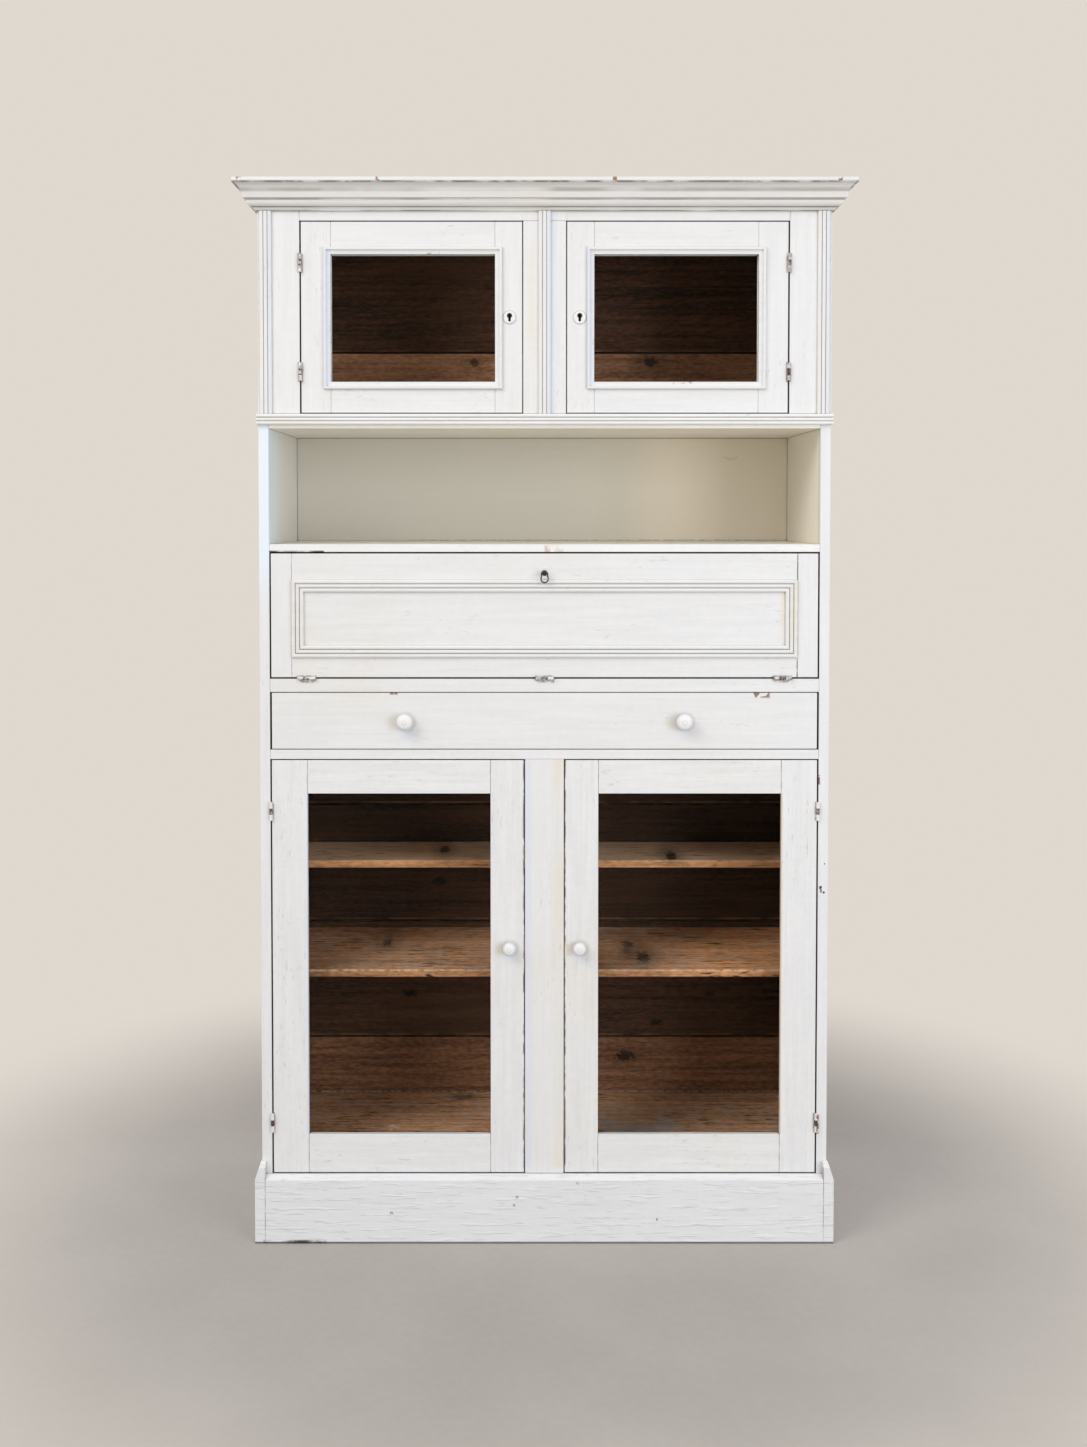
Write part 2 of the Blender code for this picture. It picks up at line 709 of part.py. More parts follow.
def make_backs():
    """The back, of wide boards laid across; the niche's own piece is painted."""
    outer = INNER_HALF - SEAT

    def back(name, finish, foot, head, joints):
        low, high = (-outer, PLANK_Y, foot), (outer, BACK_Y, head)
        piece(name, boards_across(low, high, joints), finish)

    lower_joints = []
    level = BACK_FOOT + PLANK_WIDTH
    while level < NICHE_SHELF_Z - NARROWEST_PLANK:
        lower_joints.append(level)
        level += PLANK_WIDTH
    back("lower_back", "raw_pine", BACK_FOOT, NICHE_Z - SEAT, lower_joints)
    back("niche_back", "cream_paint", NICHE_Z + SEAT, UPPER_FLOOR_Z - SEAT, [])
    joint = UPPER_Z + UPPER_PLANK_WIDTH
    back("upper_back", "raw_pine", UPPER_FLOOR_Z + SEAT, TOP_BOARD_Z - SEAT, [joint])


def make_cornice():
    """The mitred cornice round the front and sides, and the board that closes the top."""
    reach, height = CORNICE_REACH, CORNICE_HEIGHT

    def at(out_share, up_share):
        return (out_share * reach, up_share * height)

    # The shape of the moulding, as shares of its reach and height
    profile_shares = {
        "fillet": (1.0, 0.965),
        "ovolo": (0.66, 0.70),
        "fascia_top": (0.64, 0.69),
        "fascia_foot": (0.575, 0.44),
        "quirk_top": (0.45, 0.415),
        "quirk_foot": (0.43, 0.34),
        "cove": (0.2, 0.14),
        "bead_top": (0.22, 0.12),
        "bead_foot": (0.1, 0.0),
    }
    marks = {name: at(*share) for name, share in profile_shares.items()}
    profile = [(SEAT, 0.0), (SEAT, height - SEAT), (reach, height - SEAT), marks["fillet"]]
    profile += quarter(marks["fillet"], marks["ovolo"], across_first=True)
    profile += [marks["fascia_top"], marks["fascia_foot"], marks["quirk_top"], marks["quirk_foot"]]
    profile += quarter(marks["quirk_foot"], marks["cove"])
    profile.append(marks["bead_top"])
    profile += quarter(marks["bead_top"], marks["bead_foot"], across_first=True)
    sections = []
    for side, corner_y in ((LEFT, None), (LEFT, FACE_Y), (RIGHT, FACE_Y), (RIGHT, None)):
        section = []
        for out, up in profile:
            y = BACK_Y if corner_y is None else corner_y - out
            section.append((side * (HALF_WIDTH + out), y, CORNICE_Z + up))
        sections.append(section)
    piece("cornice", swept(sections), "white_paint", smooth=True)
    edge = HALF_WIDTH + reach
    piece(
        "top_board",
        block((-edge, FACE_Y - reach, TOP_BOARD_Z), (edge, BACK_Y, HEIGHT), ARRIS),
        "white_paint",
    )


def make_planted_strips():
    """The reeded strips on the upper frame and the reeded moulding at the waist."""
    face = FACE_Y - SEAT
    foot, head = UPPER_Z + SEAT, CORNICE_Z - SEAT
    profile = reeded_profile(STRIP_WIDTH, STRIP_BACKING, STRIP_REED_RISE)
    outer_x = HALF_WIDTH - STRIP_INSET - STRIP_WIDTH
    places = {
        "left": -outer_x - STRIP_WIDTH,
        "centre": -STRIP_WIDTH / 2,
        "right": outer_x,
    }
    for word, x in places.items():
        outline = [(x + across, face - proud, foot) for across, proud in profile]
        strip = prism(outline, (0.0, 0.0, head - foot))
        piece(f"reeded_strip_{word}", strip, "white_paint", smooth=True)
    profile = reeded_profile(WAIST_HEIGHT, WAIST_BACKING, WAIST_REED_RISE)
    edge = HALF_WIDTH + WAIST_OVERRUN
    outline = [(-edge, face - proud, UPPER_Z - across) for across, proud in profile]
    piece("waist_moulding", prism(outline, (2 * edge, 0.0, 0.0)), "white_paint", smooth=True)


def make_plinth():
    """The plinth: a front board with a chamfered top between bevelled side skirts."""
    front, rear = FACE_Y - PLINTH_PROUD, FACE_Y - SEAT
    inner = HALF_WIDTH - SKIRT_RETURN
    top = BASE_RAIL_TOP
    outline = [
        (-inner + SEAT, rear, 0.0),
        (-inner + SEAT, rear, top),
        (-inner + SEAT, front + PLINTH_CHAMFER_RUN, top),
        (-inner + SEAT, front, top - PLINTH_CHAMFER_DROP),
        (-inner + SEAT, front, 0.0),
    ]
    shapes = [prism(outline, (2 * (inner - SEAT), 0.0, 0.0))]
    for _, side in SIDES:
        near, far = HALF_WIDTH + SEAT, HALF_WIDTH + SKIRT_THICK
        plan = [
            (side * inner, front),
            (side * far, front),
            (side * far, BACK_Y),
            (side * near, BACK_Y),
            (side * near, rear),
            (side * inner, rear),
        ]
        skirt = prism([(x, y, 0.0) for x, y in plan], (0.0, 0.0, SKIRT_HEIGHT))
        slope = [
            (side * (HALF_WIDTH + SKIRT_EDGE), SKIRT_HEIGHT),
            (side * far, SKIRT_HEIGHT - SKIRT_BEVEL),
            (side * (far + CUT_OVERRUN), SKIRT_HEIGHT - SKIRT_BEVEL),
            (side * (far + CUT_OVERRUN), SKIRT_HEIGHT + CUT_OVERRUN),
            (side * (HALF_WIDTH + SKIRT_EDGE), SKIRT_HEIGHT + CUT_OVERRUN),
        ]
        away = prism(
            [(x, front - CUT_OVERRUN, z) for x, z in slope],
            (0.0, BACK_Y - front + 2 * CUT_OVERRUN, 0.0),
        )
        shapes.append(cut(skirt, away))
        middle = (front + rear) / 2
        cheek = PLINTH_PROUD * TENON_THICK_SHARE / 2
        half_tongue = top * TENON_WIDTH_SHARE / 2
        t0, t1 = span(side, inner - TENON_LENGTH, HALF_WIDTH + SKIRT_THICK / 2)
        shapes.append(
            block(
                (t0, middle - cheek, top / 2 - half_tongue),
                (t1, middle + cheek, top / 2 + half_tongue),
            )
        )
    piece("plinth", join(*shapes), "white_paint")


# Doors

def mitred_ring(profile, x0, x1, z0, z1, face_y):
    """A mitred frame: profile gives (outwards from the sight edge, proud of face_y)."""
    corners = ((x0, z0, -1, -1), (x1, z0, 1, -1), (x1, z1, 1, 1), (x0, z1, -1, 1))
    sections = []
    for x, z, out_x, out_z in corners:
        sections.append(
            [(x + out_x * out, face_y - proud, z + out_z * out) for out, proud in profile]
        )
    return swept(sections, closed=True)


def framed_door(outer, sight, rebate, holes=()):
    """Two stiles and two rails, tenoned together, with a rebate for the glass.

    outer and sight are (x0, x1, z0, z1); rebate is (width, y0, y1).
    """
    y0, y1 = FACE_Y, REAR_OF_FRAME_Y
    middle = (y0 + y1) / 2
    shapes = [
        block((outer[0], y0, outer[2]), (sight[0], y1, outer[3]), ARRIS),
        block((sight[1], y0, outer[2]), (outer[1], y1, outer[3]), ARRIS),
    ]
    for foot, head in ((outer[2], sight[2]), (sight[3], outer[3])):
        shapes.append(
            block((sight[0] + SEAT, y0, foot), (sight[1] - SEAT, y1, head), ARRIS)
        )
        for x in sight[:2]:
            shapes.append(tenon((x, middle, (foot + head) / 2), True, head - foot))
    body = join(*shapes)
    width, near, far = rebate
    rebate_cut = block(
        (sight[0] - width, near, sight[2] - width), (sight[1] + width, far, sight[3] + width)
    )
    return cut(body, rebate_cut, *holes)


def door_box(side, near, far, opening_z, opening):
    """The outer box of a door (x0, x1, z0, z1) from its meeting and hinge edges."""
    x0, x1 = span(side, near, far)
    return x0, x1, opening_z + DOOR_CLEARANCE, opening_z + opening - DOOR_CLEARANCE


def glass_pane(sight, rebate_width, y0):
    """A pane that fills a rebate with a small clearance all round."""
    grow = rebate_width - SEAT
    return block(
        (sight[0] - grow, y0, sight[2] - grow),
        (sight[1] + grow, y0 + GLASS_THICK, sight[3] + grow),
    )


def keyhole_outline(centre_x, centre_z, y):
    """A round-headed keyhole: a round top with a parallel slot below."""
    radius = KEYHOLE_DIAMETER / 2
    half_slot = KEYHOLE_SLOT / 2
    head_z = centre_z + KEYHOLE_HEIGHT / 2 - radius
    start = -math.pi / 2 + math.asin(half_slot / radius)
    sweep = math.tau - 2 * math.asin(half_slot / radius)
    points = []
    for i in range(KEYHOLE_STEPS + 1):
        turn = start + sweep * i / KEYHOLE_STEPS
        points.append((centre_x + radius * math.cos(turn), y, head_z + radius * math.sin(turn)))
    foot = centre_z - KEYHOLE_HEIGHT / 2
    points.append((centre_x - half_slot, y, foot))
    points.append((centre_x + half_slot, y, foot))
    return points


def make_upper_door(word, side):
    """A glazed upper door with its moulding, lock, bolt and escutcheon."""
    meeting = UPPER_MUNTIN / 2 + DOOR_CLEARANCE
    hanging = UPPER_JAMB - HINGE_GAP
    outer = door_box(side, meeting, hanging, UPPER_Z, UPPER_OPENING)
    x0, x1 = span(side, meeting + UPPER_MEETING_STILE, hanging - UPPER_HANGING_STILE)
    sight = (x0, x1, outer[2] + UPPER_DOOR_BOTTOM_RAIL, outer[3] - UPPER_DOOR_TOP_RAIL)
    hinge_x = side * (UPPER_JAMB - HINGE_GAP / 2)
    body = carrier(f"upper_{word}_door_axis", (hinge_x, AXIS_Y, outer[2]))
    glass_y = FACE_Y + SEAT
    rebate = (SASH_REBATE, FACE_Y - CUT_OVERRUN, glass_y + GLASS_THICK + SEAT)
    lock_x = side * (meeting + LOCK_INSET)
    lock_z = (outer[2] + outer[3]) / 2
    keyhole = prism(
        keyhole_outline(lock_x, lock_z, FACE_Y - CUT_OVERRUN),
        (0.0, FRAME_THICK + 2 * CUT_OVERRUN, 0.0),
    )
    frame = framed_door(outer, sight, rebate, [keyhole])
    leaves = []
    for z in door_hinge_levels(UPPER_Z, UPPER_OPENING, UPPER_HINGE_INSET):
        leaves.extend(upright_hinge(side, hinge_x, z)[1])
    piece(f"upper_door_{word}", join(frame, *leaves), "white_paint", body)
    piece(f"upper_glass_{word}", glass_pane(sight, SASH_REBATE, glass_y), "glass", body)
    step = (SASH_WIDTH / 2 + SASH_FILLET, SASH_PROUD - SASH_FILLET)
    sash = [
        (0.0, 0.0),
        (SASH_WIDTH, 0.0),
        (SASH_WIDTH, SASH_PROUD - SASH_FILLET),
        (SASH_WIDTH - SASH_FILLET, SASH_PROUD),
        (step[0], SASH_PROUD),
        step,
        *quarter(step, (0.0, SASH_FILLET)),
    ]
    ring = mitred_ring(sash, *sight, FACE_Y - SEAT)
    piece(f"sash_moulding_{word}", ring, "white_paint", body, smooth=True)
    make_upper_lock(word, side, body, lock_x, lock_z)


def make_upper_lock(word, side, body, lock_x, lock_z):
    """The cut lock on the back of the meeting stile, its bolt and the escutcheon."""
    case_y = REAR_OF_FRAME_Y + SEAT
    meeting = UPPER_MUNTIN / 2 + DOOR_CLEARANCE
    near = meeting + LOCK_SETBACK
    x0, x1 = span(side, near, near + LOCK_WIDTH)
    case = block(
        (x0, case_y, lock_z - LOCK_HEIGHT / 2),
        (x1, case_y + LOCK_DEPTH, lock_z + LOCK_HEIGHT / 2),
        ARRIS,
    )
    bolt_y = case_y + (LOCK_DEPTH - BOLT_THICK) / 2
    s0, s1 = span(side, near - CUT_OVERRUN, near + BOLT_LENGTH + SEAT)
    slot = block(
        (s0, bolt_y - SEAT, lock_z - BOLT_WIDTH / 2 - SEAT),
        (s1, bolt_y + BOLT_THICK + SEAT, lock_z + BOLT_WIDTH / 2 + SEAT),
    )
    piece(f"lock_{word}", cut(case, slot), "iron", body)
    b0, b1 = span(side, near, near + BOLT_LENGTH)
    bolt = block(
        (b0, bolt_y, lock_z - BOLT_WIDTH / 2),
        (b1, bolt_y + BOLT_THICK, lock_z + BOLT_WIDTH / 2),
        ARRIS / 2,
    )
    slide = carrier(f"bolt_{word}_axis", (lock_x, bolt_y, lock_z))
    piece(f"bolt_{word}", bolt, "iron", slide)
    radius = ESCUTCHEON_DIAMETER / 2
    disc = turned(
        (
            (0.0, radius),
            (ESCUTCHEON_THICK / 2, radius),
            (ESCUTCHEON_THICK, radius - ESCUTCHEON_THICK),
        ),
        (lock_x, FACE_Y - SEAT, lock_z),
        (0.0, -1.0, 0.0),
        KNOB_SEGMENTS,
    )
    hole = prism(
        keyhole_outline(lock_x, lock_z, FACE_Y - CUT_OVERRUN), (0.0, 2 * CUT_OVERRUN, 0.0)
    )
    piece(f"escutcheon_{word}", cut(disc, hole), "white_paint", body)


def make_lower_door(word, side):
    """A tall glazed lower door with glazing beads and a turning latch."""
    meeting = LOWER_MUNTIN / 2 + DOOR_CLEARANCE
    hanging = INNER_HALF - HINGE_GAP
    outer = door_box(side, meeting, hanging, BASE_RAIL_TOP, LOWER_OPENING)
    x0, x1 = span(side, meeting + LOWER_MEETING_STILE, hanging - LOWER_HANGING_STILE)
    sight = (x0, x1, outer[2] + LOWER_DOOR_BOTTOM_RAIL, outer[3] - LOWER_DOOR_TOP_RAIL)
    hinge_x = side * (INNER_HALF - HINGE_GAP / 2)
    body = carrier(f"lower_{word}_door_axis", (hinge_x, AXIS_Y, outer[2]))
    shoulder_y = REAR_OF_FRAME_Y - GLAZING_REBATE_DEPTH
    rebate = (GLAZING_REBATE, shoulder_y, REAR_OF_FRAME_Y + CUT_OVERRUN)
    latch_x = side * (meeting + LATCH_INSET)
    latch_z = outer[2] + LATCH_RISE
    bore = drum(
        (latch_x, FACE_Y - CUT_OVERRUN, latch_z),
        (0.0, 1.0, 0.0),
        SPINDLE_BORE,
        FRAME_THICK + 2 * CUT_OVERRUN,
    )
    frame = framed_door(outer, sight, rebate, [bore])
    leaves = []
    for z in door_hinge_levels(BASE_RAIL_TOP, LOWER_OPENING, LOWER_HINGE_INSET):
        leaves.extend(upright_hinge(side, hinge_x, z)[1])
    piece(f"lower_door_{word}", join(frame, *leaves), "white_paint", body)
    glass_y = shoulder_y + SEAT
    piece(f"lower_glass_{word}", glass_pane(sight, GLAZING_REBATE, glass_y), "glass", body)
    bead_y = glass_y + GLASS_THICK + SEAT
    bead_depth = REAR_OF_FRAME_Y - bead_y
    edge = GLAZING_REBATE - SEAT
    bead = [(edge, 0.0), (edge, -bead_depth), (edge - BEAD_WIDTH / 2, -bead_depth)]
    bead += quarter((edge - BEAD_WIDTH / 2, -bead_depth), (edge - BEAD_WIDTH, 0.0))
    ring = mitred_ring(bead, *sight, bead_y)
    piece(f"glazing_bead_{word}", ring, "raw_pine", body, smooth=True)
    latch = carrier(f"latch_{word}_axis", (latch_x, FACE_Y, latch_z))
    make_latch(word, latch, latch_x, latch_z)


# The outline of a turned knob, as shares of its length and of its radius
KNOB_SHARES = (
    (0.0, 0.62),
    (0.05, 0.66),
    (0.1, 0.64),
    (0.14, 0.5),
    (0.3, 0.42),
    (0.4, 0.52),
    (0.46, 0.8),
    (0.56, 0.97),
    (0.68, 1.0),
    (0.82, 0.9),
    (0.93, 0.66),
    (0.96, 0.46),
    (0.975, 0.4),
    (1.0, 0.2),
    (1.0, 0.0),
)


def knob_profile(diameter, length):
    """The knob's outline from its base to the middle of its face."""
    return [(along * length, out * diameter / 2) for along, out in KNOB_SHARES]


def make_latch(word, body, x, z):
    """The knob of a lower door, its spindle and the tongue that turns behind the muntin."""
    front = FACE_Y - SEAT
    profile = [(SPINDLE_SOCKET, 0.0), (SPINDLE_SOCKET, SPINDLE_BORE), (0.0, SPINDLE_BORE)]
    profile += knob_profile(DOOR_KNOB_DIAMETER, DOOR_KNOB_LENGTH)
    knob = turned(profile, (x, front, z), (0.0, -1.0, 0.0), KNOB_SEGMENTS)
    piece(f"door_knob_{word}", knob, "white_paint", body, smooth=True)
    tongue_y = REAR_OF_FRAME_Y + WASHER
    half = LATCH_WIDTH / 2
    outline = [(x - half, tongue_y, z), (x - half * 2 / 3, tongue_y, z - LATCH_REACH)]
    outline.append((x + half * 2 / 3, tongue_y, z - LATCH_REACH))
    outline.append((x + half, tongue_y, z))
    for i in range(1, CURVE_STEPS + 1):
        turn = math.pi * i / (CURVE_STEPS + 1)
        outline.append((x + half * math.cos(turn), tongue_y, z + half * math.sin(turn)))
    tongue = prism(outline, (0.0, LATCH_THICK, 0.0))
    start = front - SPINDLE_SOCKET + SEAT
    spindle = drum(
        (x, start, z), (0.0, 1.0, 0.0), SPINDLE, tongue_y + LATCH_THICK / 2 - start
    )
    collar = drum(
        (x, REAR_OF_FRAME_Y + SEAT, z), (0.0, 1.0, 0.0), SPINDLE * 2, WASHER, KNOB_SEGMENTS // 2
    )
    piece(f"latch_{word}", join(tongue, collar, spindle), "iron", body)


# Fall flap

def flap_bolt_y():
    """The front and back of the flap's bolt."""
    case_y = REAR_OF_FRAME_Y + SEAT
    start = case_y + (FLAP_LOCK_DEPTH - FLAP_BOLT_THICK) / 2
    return start, start + FLAP_BOLT_THICK


def stay_point(angle):
    """A point (y, z) at the stays' radius from the flap's axis, leaning back by an angle."""
    return (
        AXIS_Y + STAY_RADIUS * math.sin(angle),
        FLAP_AXIS_Z + STAY_RADIUS * math.cos(angle),
    )


def make_flap():
    """The flap with its clamps, leaves and stay brackets, and its planted moulding."""
    body = carrier("flap_axis", (0.0, AXIS_Y, FLAP_AXIS_Z))
    edge = INNER_HALF - FLAP_SIDE_CLEARANCE
    foot, head = FLAP_Z + HINGE_GAP, NICHE_SHELF_Z - FLAP_CLEARANCE
    joint = edge - CLAMP_WIDTH
    y0, y1 = FACE_Y, REAR_OF_FRAME_Y
    shapes = [block((-joint + SEAT, y0, foot), (joint - SEAT, y1, head), ARRIS)]
    for _, side in SIDES:
        x0, x1 = span(side, joint, edge)
        shapes.append(block((x0, y0, foot), (x1, y1, head), ARRIS))
        middle = (side * joint, (y0 + y1) / 2, (foot + head) / 2)
        shapes.append(tenon(middle, True, head - foot))
        shapes.extend(stay_bracket(side))
    for x in flap_hinge_places():
        shapes.extend(flap_hinge(x)[1])
    key_way = drum(
        (0.0, FACE_Y - CUT_OVERRUN, KEY_Z),
        (0.0, 1.0, 0.0),
        KEY_SLEEVE,
        FRAME_THICK + 2 * CUT_OVERRUN,
    )
    piece("flap", cut(join(*shapes), key_way), "white_paint", body)
    profile = reeded_profile(FLAP_RING_WIDTH, FLAP_RING_BACKING, FLAP_RING_REED_RISE)
    profile.reverse()
    ring_top = head - FLAP_RING_DROP - FLAP_RING_WIDTH
    ring_foot = ring_top + 2 * FLAP_RING_WIDTH - FLAP_RING_HEIGHT
    sight_x = joint - FLAP_RING_WIDTH
    ring = mitred_ring(profile, -sight_x, sight_x, ring_foot, ring_top, FACE_Y - SEAT)
    piece("flap_moulding", ring, "white_paint", body, smooth=True)
    make_flap_lock(body, head)
    make_stays(body)


def stay_bracket(side):
    """The lug on the flap's back, with the pin that a stay turns on."""
    y, z = stay_point(STAY_FLAP_ANGLE)
    line = INNER_HALF - STAY_LINE
    near = line - STAY_BAR_THICK / 2 - SEAT - BRACKET_THICK
    x0, x1 = span(side, near, near + BRACKET_THICK)
    lug = block(
        (x0, REAR_OF_FRAME_Y - BRACKET_FOOT, z - BRACKET_HEIGHT / 2),
        (x1, y + STAY_PIN * 2, z + BRACKET_HEIGHT / 2),
    )
    start = side * (near + BRACKET_THICK / 2)
    length = BRACKET_THICK / 2 + SEAT + STAY_BAR_THICK + SEAT
    pin = drum((start, y, z), (side, 0.0, 0.0), STAY_PIN, length + SEAT)
    return [lug, pin]


def make_flap_lock(body, flap_head):
    """The lock behind the flap, the bolt that rises from it, and the key with its bow."""
    case_y = REAR_OF_FRAME_Y + SEAT
    case_head = flap_head - FLAP_LOCK_TOP_DROP
    half = FLAP_LOCK_WIDTH / 2
    case = block(
        (-half, case_y, case_head - FLAP_LOCK_HEIGHT),
        (half, case_y + FLAP_LOCK_DEPTH, case_head),
        ARRIS,
    )
    bolt_y = flap_bolt_y()
    half_bolt = FLAP_BOLT_WIDTH / 2
    slot = block(
        (-half_bolt - SEAT, bolt_y[0] - SEAT, case_head - FLAP_BOLT_LENGTH - SEAT),
        (half_bolt + SEAT, bolt_y[1] + SEAT, case_head + CUT_OVERRUN),
    )
    key_well = drum(
        (0.0, case_y - CUT_OVERRUN, KEY_Z),
        (0.0, 1.0, 0.0),
        KEY_SLEEVE,
        CUT_OVERRUN + (bolt_y[0] - case_y) * 2 / 3,
    )
    piece("flap_lock", cut(case, slot, key_well), "iron", body)
    bolt = block(
        (-half_bolt, bolt_y[0], case_head - FLAP_BOLT_LENGTH),
        (half_bolt, bolt_y[1], case_head),
        ARRIS / 2,
    )
    slide = carrier("flap_bolt_axis", (0.0, bolt_y[0], case_head))
    piece("flap_bolt", bolt, "iron", slide)
    key = carrier("key_axis", (0.0, FACE_Y, KEY_Z))
    tip = case_y + (bolt_y[0] - case_y) / 3
    eye_y = FACE_Y - KEY_REACH
    head_start = eye_y - KEY_HEAD_LENGTH / 2
    front = FACE_Y - SEAT
    profile = (
        (0.0, 0.0),
        (0.0, KEY_HEAD * 2 / 3),
        (KEY_HEAD_LENGTH / 4, KEY_HEAD),
        (KEY_HEAD_LENGTH * 3 / 4, KEY_HEAD),
        (KEY_HEAD_LENGTH, KEY_SHAFT),
        (front - KEY_COLLAR_THICK - head_start, KEY_SHAFT),
        (front - KEY_COLLAR_THICK - head_start, KEY_COLLAR * 2 / 3),
        (front - KEY_COLLAR_THICK / 2 - head_start, KEY_COLLAR),
        (front - head_start, KEY_COLLAR),
        (front - head_start, KEY_SHAFT),
        (tip - head_start, KEY_SHAFT),
        (tip - head_start, 0.0),
    )
    shaft = turned(profile, (0.0, head_start, KEY_Z), (0.0, 1.0, 0.0), HINGE_SEGMENTS)
    eye = drum(
        (-KEY_HEAD - CUT_OVERRUN, eye_y, KEY_Z),
        (1.0, 0.0, 0.0),
        KEY_EYE,
        2 * (KEY_HEAD + CUT_OVERRUN),
    )
    piece("key", cut(shaft, eye), "iron", key)
    swing = carrier("key_bow_axis", (0.0, eye_y, KEY_Z))
    piece("key_bow", bow_ring((0.0, eye_y, KEY_Z)), "iron", swing, smooth=True)


def bow_ring(eye):
    """The pear-shaped ring of the key: a straight pin through the eye, then a round drop."""
    eye = Vector(eye)
    half_top, half_wide = BOW_TOP_WIDTH / 2, BOW_WIDTH / 2
    centre_z = -(BOW_LENGTH - half_wide)
    path = [Vector((-half_top, 0.0, 0.0)), Vector((half_top, 0.0, 0.0))]
    for i in range(BOW_STEPS + 1):
        turn = BOW_START_ANGLE - BOW_SWEEP * i / BOW_STEPS
        path.append(
            Vector((half_wide * math.cos(turn), 0.0, centre_z + half_wide * math.sin(turn)))
        )
    sides = HINGE_SEGMENTS // 2 + 2
    sections = []
    for i, point in enumerate(path):
        before, after = path[i - 1], path[(i + 1) % len(path)]
        run_in, run_out = (point - before).normalized(), (after - point).normalized()
        along = (run_in + run_out).normalized()
        across = along.cross(Vector((0.0, 1.0, 0.0)))
        stretch = 1 / max(abs(along.dot(run_out)), math.cos(BOW_SHARPEST))
        section = []
        for k in range(sides):
            turn = math.tau * k / sides
            offset = across * math.cos(turn) * stretch + Vector((0.0, math.sin(turn), 0.0))
            section.append(eye + point + offset * BOW_WIRE)
        sections.append(section)
    return swept(sections, closed=True)


def make_stays(flap_body):
    """The two stay bars that turn on the flap and slide in swivel guides on the sides."""
    flap_y, flap_z = stay_point(STAY_FLAP_ANGLE)
    side_y, side_z = stay_point(STAY_SIDE_ANGLE)
    run = Vector((0.0, side_y - flap_y, side_z - flap_z))
    aim = run.normalized()
    up = Vector((0.0, -aim.z, aim.y))
    open_turn = (STAY_SIDE_ANGLE - STAY_FLAP_ANGLE + STAY_OPEN_ANGLE) / 2
    open_run = 2 * STAY_RADIUS * math.sin(open_turn)
    length = open_run + GUIDE_LENGTH / 2 + STAY_STOP_LENGTH + SEAT
    bars = carrier("stay_bar_axis", (0.0, flap_y, flap_z))
    guides = carrier("stay_guide_axis", (0.0, side_y, side_z))
    bars.parent = flap_body
    bars.matrix_parent_inverse = Matrix.Translation(flap_body.location).inverted()
    start = Vector((0.0, flap_y, flap_z))
    for word, side in SIDES:
        line = INNER_HALF - STAY_LINE
        near = line - STAY_BAR_THICK / 2
        x0 = side * near
        piece(f"stay_bar_{word}", stay_bar(side, x0, start, aim, up, length), "iron", bars)
        pivot = Vector((side * line, side_y, side_z))
        piece(f"stay_guide_{word}", stay_guide(side, pivot, aim, up), "iron", guides)


def stay_bar(side, x, start, aim, up, length):
    """A flat bar with a round eye at the flap and a stop at its tail."""
    half = STAY_BAR_WIDTH / 2
    outline = [start + aim * length - up * half, start + aim * length + up * half]
    steps = 2 * CURVE_STEPS
    begin = math.asin(half / STAY_END)
    for i in range(steps + 1):
        turn = begin + (math.tau - 2 * begin) * i / steps
        outline.append(start + (aim * math.cos(turn) + up * math.sin(turn)) * STAY_END)
    flat = prism([Vector((x, p.y, p.z)) for p in outline], (side * STAY_BAR_THICK, 0.0, 0.0))
    eye_bore = STAY_PIN + SEAT
    bore = drum(
        (x - side * CUT_OVERRUN, start.y, start.z),
        (side, 0.0, 0.0),
        eye_bore,
        STAY_BAR_THICK + 2 * CUT_OVERRUN,
    )
    tail = start + aim * (length - STAY_STOP_LENGTH / 2)
    stop = drum(
        (x - side * STAY_STOP, tail.y, tail.z),
        (side, 0.0, 0.0),
        STAY_STOP_LENGTH / 2,
        STAY_BAR_THICK + 2 * STAY_STOP,
    )
    return join(cut(flat, bore), stop)


def stay_guide(side, pivot, aim, up):
    """A swivelling loop that the bar slides through, and the pin it turns on."""
    half_x = STAY_BAR_THICK / 2 + GUIDE_CLEARANCE
    half_up = STAY_BAR_WIDTH / 2 + GUIDE_CLEARANCE
    turn = Matrix((Vector((1.0, 0.0, 0.0)), aim, up)).transposed().to_4x4()
    place = Matrix.Translation(pivot) @ turn
    half_long = GUIDE_LENGTH / 2
    loop = block(
        (-half_x - GUIDE_WALL, -half_long, -half_up - GUIDE_WALL),
        (half_x + GUIDE_WALL, half_long, half_up + GUIDE_WALL),
        ARRIS / 2,
    )
    gap = block(
        (-half_x, -half_long - CUT_OVERRUN, -half_up),
        (half_x, half_long + CUT_OVERRUN, half_up),
    )
    ring = cut(loop, gap)
    bmesh.ops.transform(ring, matrix=place, verts=ring.verts)
    reach = STAY_LINE - SEAT - half_x - GUIDE_WALL / 2
    pin_start = pivot + Vector((side * (half_x + GUIDE_WALL / 2), 0.0, 0.0))
    pin = drum(pin_start, (side, 0.0, 0.0), STAY_PIN, reach)
    return join(ring, pin)


# Drawer

def tails(foot, y, grow):
    """The dovetails at the front end of a drawer side, as outlines (y, z), top one first."""
    pitch = DRAWER_SIDE_HEIGHT / TAIL_COUNT
    root = pitch * TAIL_ROOT_SHARE / 2 + grow
    tip = root + TAIL_FLARE
    front = y - TAIL_LENGTH - grow
    outlines = []
    for i in reversed(range(TAIL_COUNT)):
        middle = foot + pitch * (i + 1 / 2)
        outlines.append(
            [(y, middle + root), (front, middle + tip), (front, middle - tip), (y, middle - root)]
        )
    return outlines


